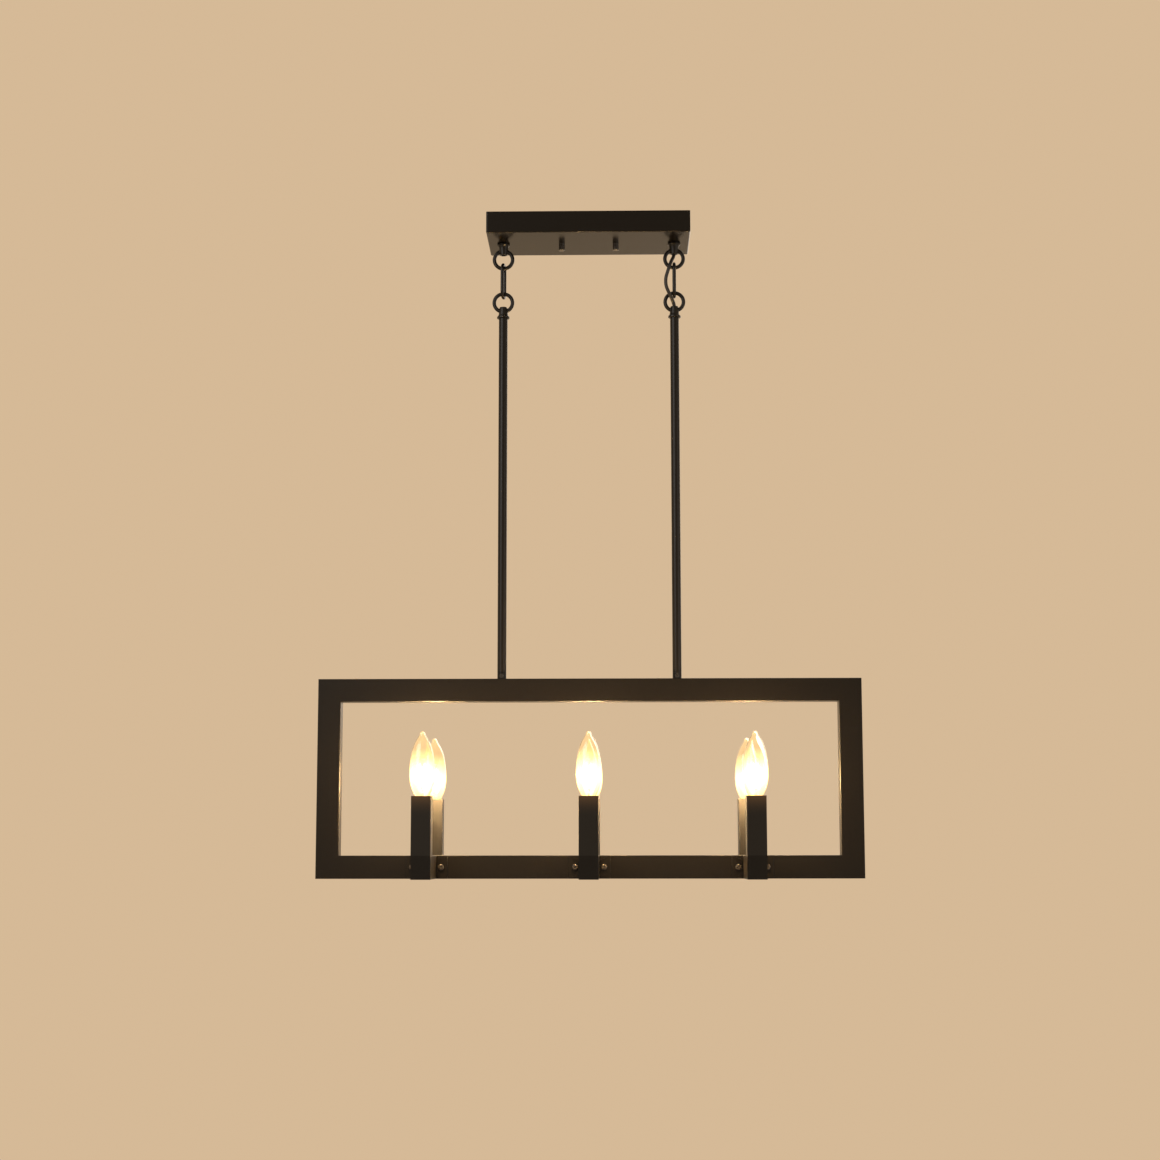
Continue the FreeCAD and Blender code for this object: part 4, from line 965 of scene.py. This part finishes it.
# ---------------------------------------------------------------- glass mounts and filaments
# In each bulb, a flared glass stem carries four lit filaments, which lean outwards on thin
# steel leads and meet at a wire hoop.
MOUNT_FOOT_Z = BULB_FOOT_Z + BASE_COLLAR_HEIGHT
MOUNT_HEIGHT = 0.016
MOUNT_PROFILE = [
    (0.0024, 0.0),
    (0.0022, 0.002),
    (0.0017, 0.006),
    (0.0015, 0.011),
    (0.0018, 0.014),
    (0.0014, 0.0158),
]
FILAMENT_RADIUS = 0.0008
FILAMENT_FOOT_REACH = 0.0016
FILAMENT_HEAD_REACH = 0.0052
FILAMENT_FOOT_Z = MOUNT_FOOT_Z + MOUNT_HEIGHT - 0.0016
FILAMENT_RISE = 0.042
FILAMENT_BRIGHTNESS = (270.0, 330.0)
LEAD_RADIUS = 0.00022
LEAD_SHARE = 0.2
BULB_COLOUR = (1.0, 0.62, 0.26)
BULB_POWER = 6.8
BULB_LIGHT_RADIUS = 0.012

lit_filament, tree, shader = material("bulb_filament", (1.0, 0.72, 0.35), 0.5)
shader.inputs["Emission Color"].default_value = (*BULB_COLOUR, 1)
spread(tree, noise(tree, 900, 2), *FILAMENT_BRIGHTNESS, shader.inputs["Emission Strength"])
mount_glass, tree, shader = material("mount_glass", (1.0, 0.97, 0.92), 0.02)
shader.inputs["Transmission Weight"].default_value = 1.0
spread(tree, noise(tree, 300), 0.0, 0.08, shader.inputs["Roughness"])

mount = turned("mount", MOUNT_PROFILE, MOUNT_FOOT_Z)
sticks, leads = [], []
for quarter in range(4):
    around = Matrix.Rotation(math.radians(45 + 90 * quarter), 4, "Z")
    foot = around @ Vector((FILAMENT_FOOT_REACH, 0, FILAMENT_FOOT_Z))
    head = around @ Vector((FILAMENT_HEAD_REACH, 0, FILAMENT_FOOT_Z + FILAMENT_RISE))
    along = head - foot
    sticks.append(tube_along("stick", [foot + along * step / 6 for step in range(1, 6)],
                             FILAMENT_RADIUS, 3))
    for start, end in ((foot, foot + along * LEAD_SHARE), (head - along * LEAD_SHARE, head)):
        leads.append(tube_along("lead", [start, end], LEAD_RADIUS, 2))
bpy.ops.mesh.primitive_torus_add(
    major_radius=FILAMENT_HEAD_REACH, minor_radius=LEAD_RADIUS, major_segments=32,
    minor_segments=8, location=(0, 0, FILAMENT_FOOT_Z + FILAMENT_RISE))
hoop = bpy.context.object
bpy.ops.object.transform_apply()
smooth(hoop)
filament_set = joined("filament_set", sticks)
lead_set = joined("lead_set", leads + [hoop])
for candle, x, y in CANDLES:
    for source, label, finish in (
        (mount, "mount_", mount_glass), (filament_set, "filaments_", lit_filament),
        (lead_set, "filament_leads_", contact_tin),
    ):
        copy = copy_to(source, label + candle, (x, y, 0))
        dress(copy, finish)
        fit(copy, "bulb_" + candle, "bulb_filament_" + candle)
for source in (mount, filament_set, lead_set):
    bpy.data.objects.remove(source)

# the light that the filaments throw on the lamp comes from a soft ball round them
for candle, x, y in CANDLES:
    bpy.ops.object.light_add(type="POINT", location=(x, y, FILAMENT_FOOT_Z + FILAMENT_RISE / 2))
    light = bpy.context.object
    light.name = "bulb_light_" + candle
    light.data.energy = BULB_POWER
    light.data.color = BULB_COLOUR
    light.data.shadow_soft_size = BULB_LIGHT_RADIUS
    light.visible_camera = light.visible_transmission = False
    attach(light, "bulb_" + candle)


# ---------------------------------------------------------------- room
# A plain pale floor far below the lamp, which fades into a plain pale backdrop of the same
# colour, and three soft lights.
FLOOR_Z = -3.4
FLOOR_RADIUS = 24
BACKDROP = (0.67, 0.49, 0.31)
FADE_BEGIN = 3.5
FADE_END = 8.0
SOFT_LIGHT_COLOUR = (1.0, 0.96, 0.91)
SOFT_LIGHT_STRENGTH = 0.45
LIGHTS_AIM = Vector((0, 0, -0.6))
LIGHTS = [
    ("key_light", (-1.9, -2.4, 0.7), 2.4, 46.0, (1.0, 0.97, 0.93)),
    ("fill_light", (2.5, -1.5, -0.9), 2.6, 22.0, (1.0, 0.95, 0.90)),
    ("rear_light", (0.9, 2.6, 0.7), 3.0, 34.0, (1.0, 0.94, 0.86)),
]


def seen_directly(tree):
    """1 where the camera, a mirror or glass looks, and 0 for the light that falls on things."""
    rays = tree.nodes.new("ShaderNodeLightPath")
    seen = rays.outputs["Is Camera Ray"]
    for label in ("Is Glossy Ray", "Is Transmission Ray"):
        more = tree.nodes.new("ShaderNodeMath")
        more.operation = "MAXIMUM"
        tree.links.new(seen, more.inputs[0])
        tree.links.new(rays.outputs[label], more.inputs[1])
        seen = more.outputs["Value"]
    return seen


select_only()
bpy.ops.mesh.primitive_circle_add(vertices=96, radius=FLOOR_RADIUS, fill_type="NGON",
                                  location=(0, 0, FLOOR_Z))
floor = bpy.context.object
floor.name = "floor"
floor_finish, tree, shader = material("floor_finish", BACKDROP, 0.9, specular=0.1)
tint(tree, noise(tree, 3), (0.66, 0.48, 0.30), (0.68, 0.50, 0.32), shader.inputs["Base Color"])
place = tree.nodes.new("ShaderNodeTexCoord")
reach = tree.nodes.new("ShaderNodeVectorMath")
reach.operation = "LENGTH"
tree.links.new(place.outputs["Object"], reach.inputs[0])
fade = tree.nodes.new("ShaderNodeMath")
fade.operation = "MULTIPLY"
spread(tree, reach.outputs["Value"], 0.55, 1.0, fade.inputs[0], FADE_BEGIN, FADE_END)
tree.links.new(seen_directly(tree), fade.inputs[1])
far_floor = tree.nodes.new("ShaderNodeEmission")
far_floor.inputs["Color"].default_value = (*BACKDROP, 1)
surface = mixed(tree, fade.outputs["Value"], shader.outputs["BSDF"],
                far_floor.outputs["Emission"])
tree.links.new(surface, tree.nodes["Material Output"].inputs["Surface"])
dress(floor, floor_finish)

world = bpy.data.worlds.new("room")
bpy.context.scene.world = world
world.use_nodes = True
tree = world.node_tree
soft_light = tree.nodes["Background"]
soft_light.inputs["Color"].default_value = (*SOFT_LIGHT_COLOUR, 1)
soft_light.inputs["Strength"].default_value = SOFT_LIGHT_STRENGTH
backdrop = tree.nodes.new("ShaderNodeBackground")
backdrop.inputs["Color"].default_value = (*BACKDROP, 1)
backdrop.inputs["Strength"].default_value = 1.0
surface = mixed(tree, seen_directly(tree), soft_light.outputs["Background"],
                backdrop.outputs["Background"])
tree.links.new(surface, tree.nodes["World Output"].inputs["Surface"])

for name, place, size, power, colour in LIGHTS:
    bpy.ops.object.light_add(type="AREA", location=place)
    light = bpy.context.object
    light.name = name
    light.data.shape = "DISK"
    light.data.size = size
    light.data.energy = power
    light.data.color = colour
    towards = LIGHTS_AIM - Vector(place)
    light.rotation_euler = towards.to_track_quat("-Z", "Y").to_euler()

bpy.context.scene.view_settings.view_transform = "Standard"
bpy.ops.object.select_all(action="DESELECT")
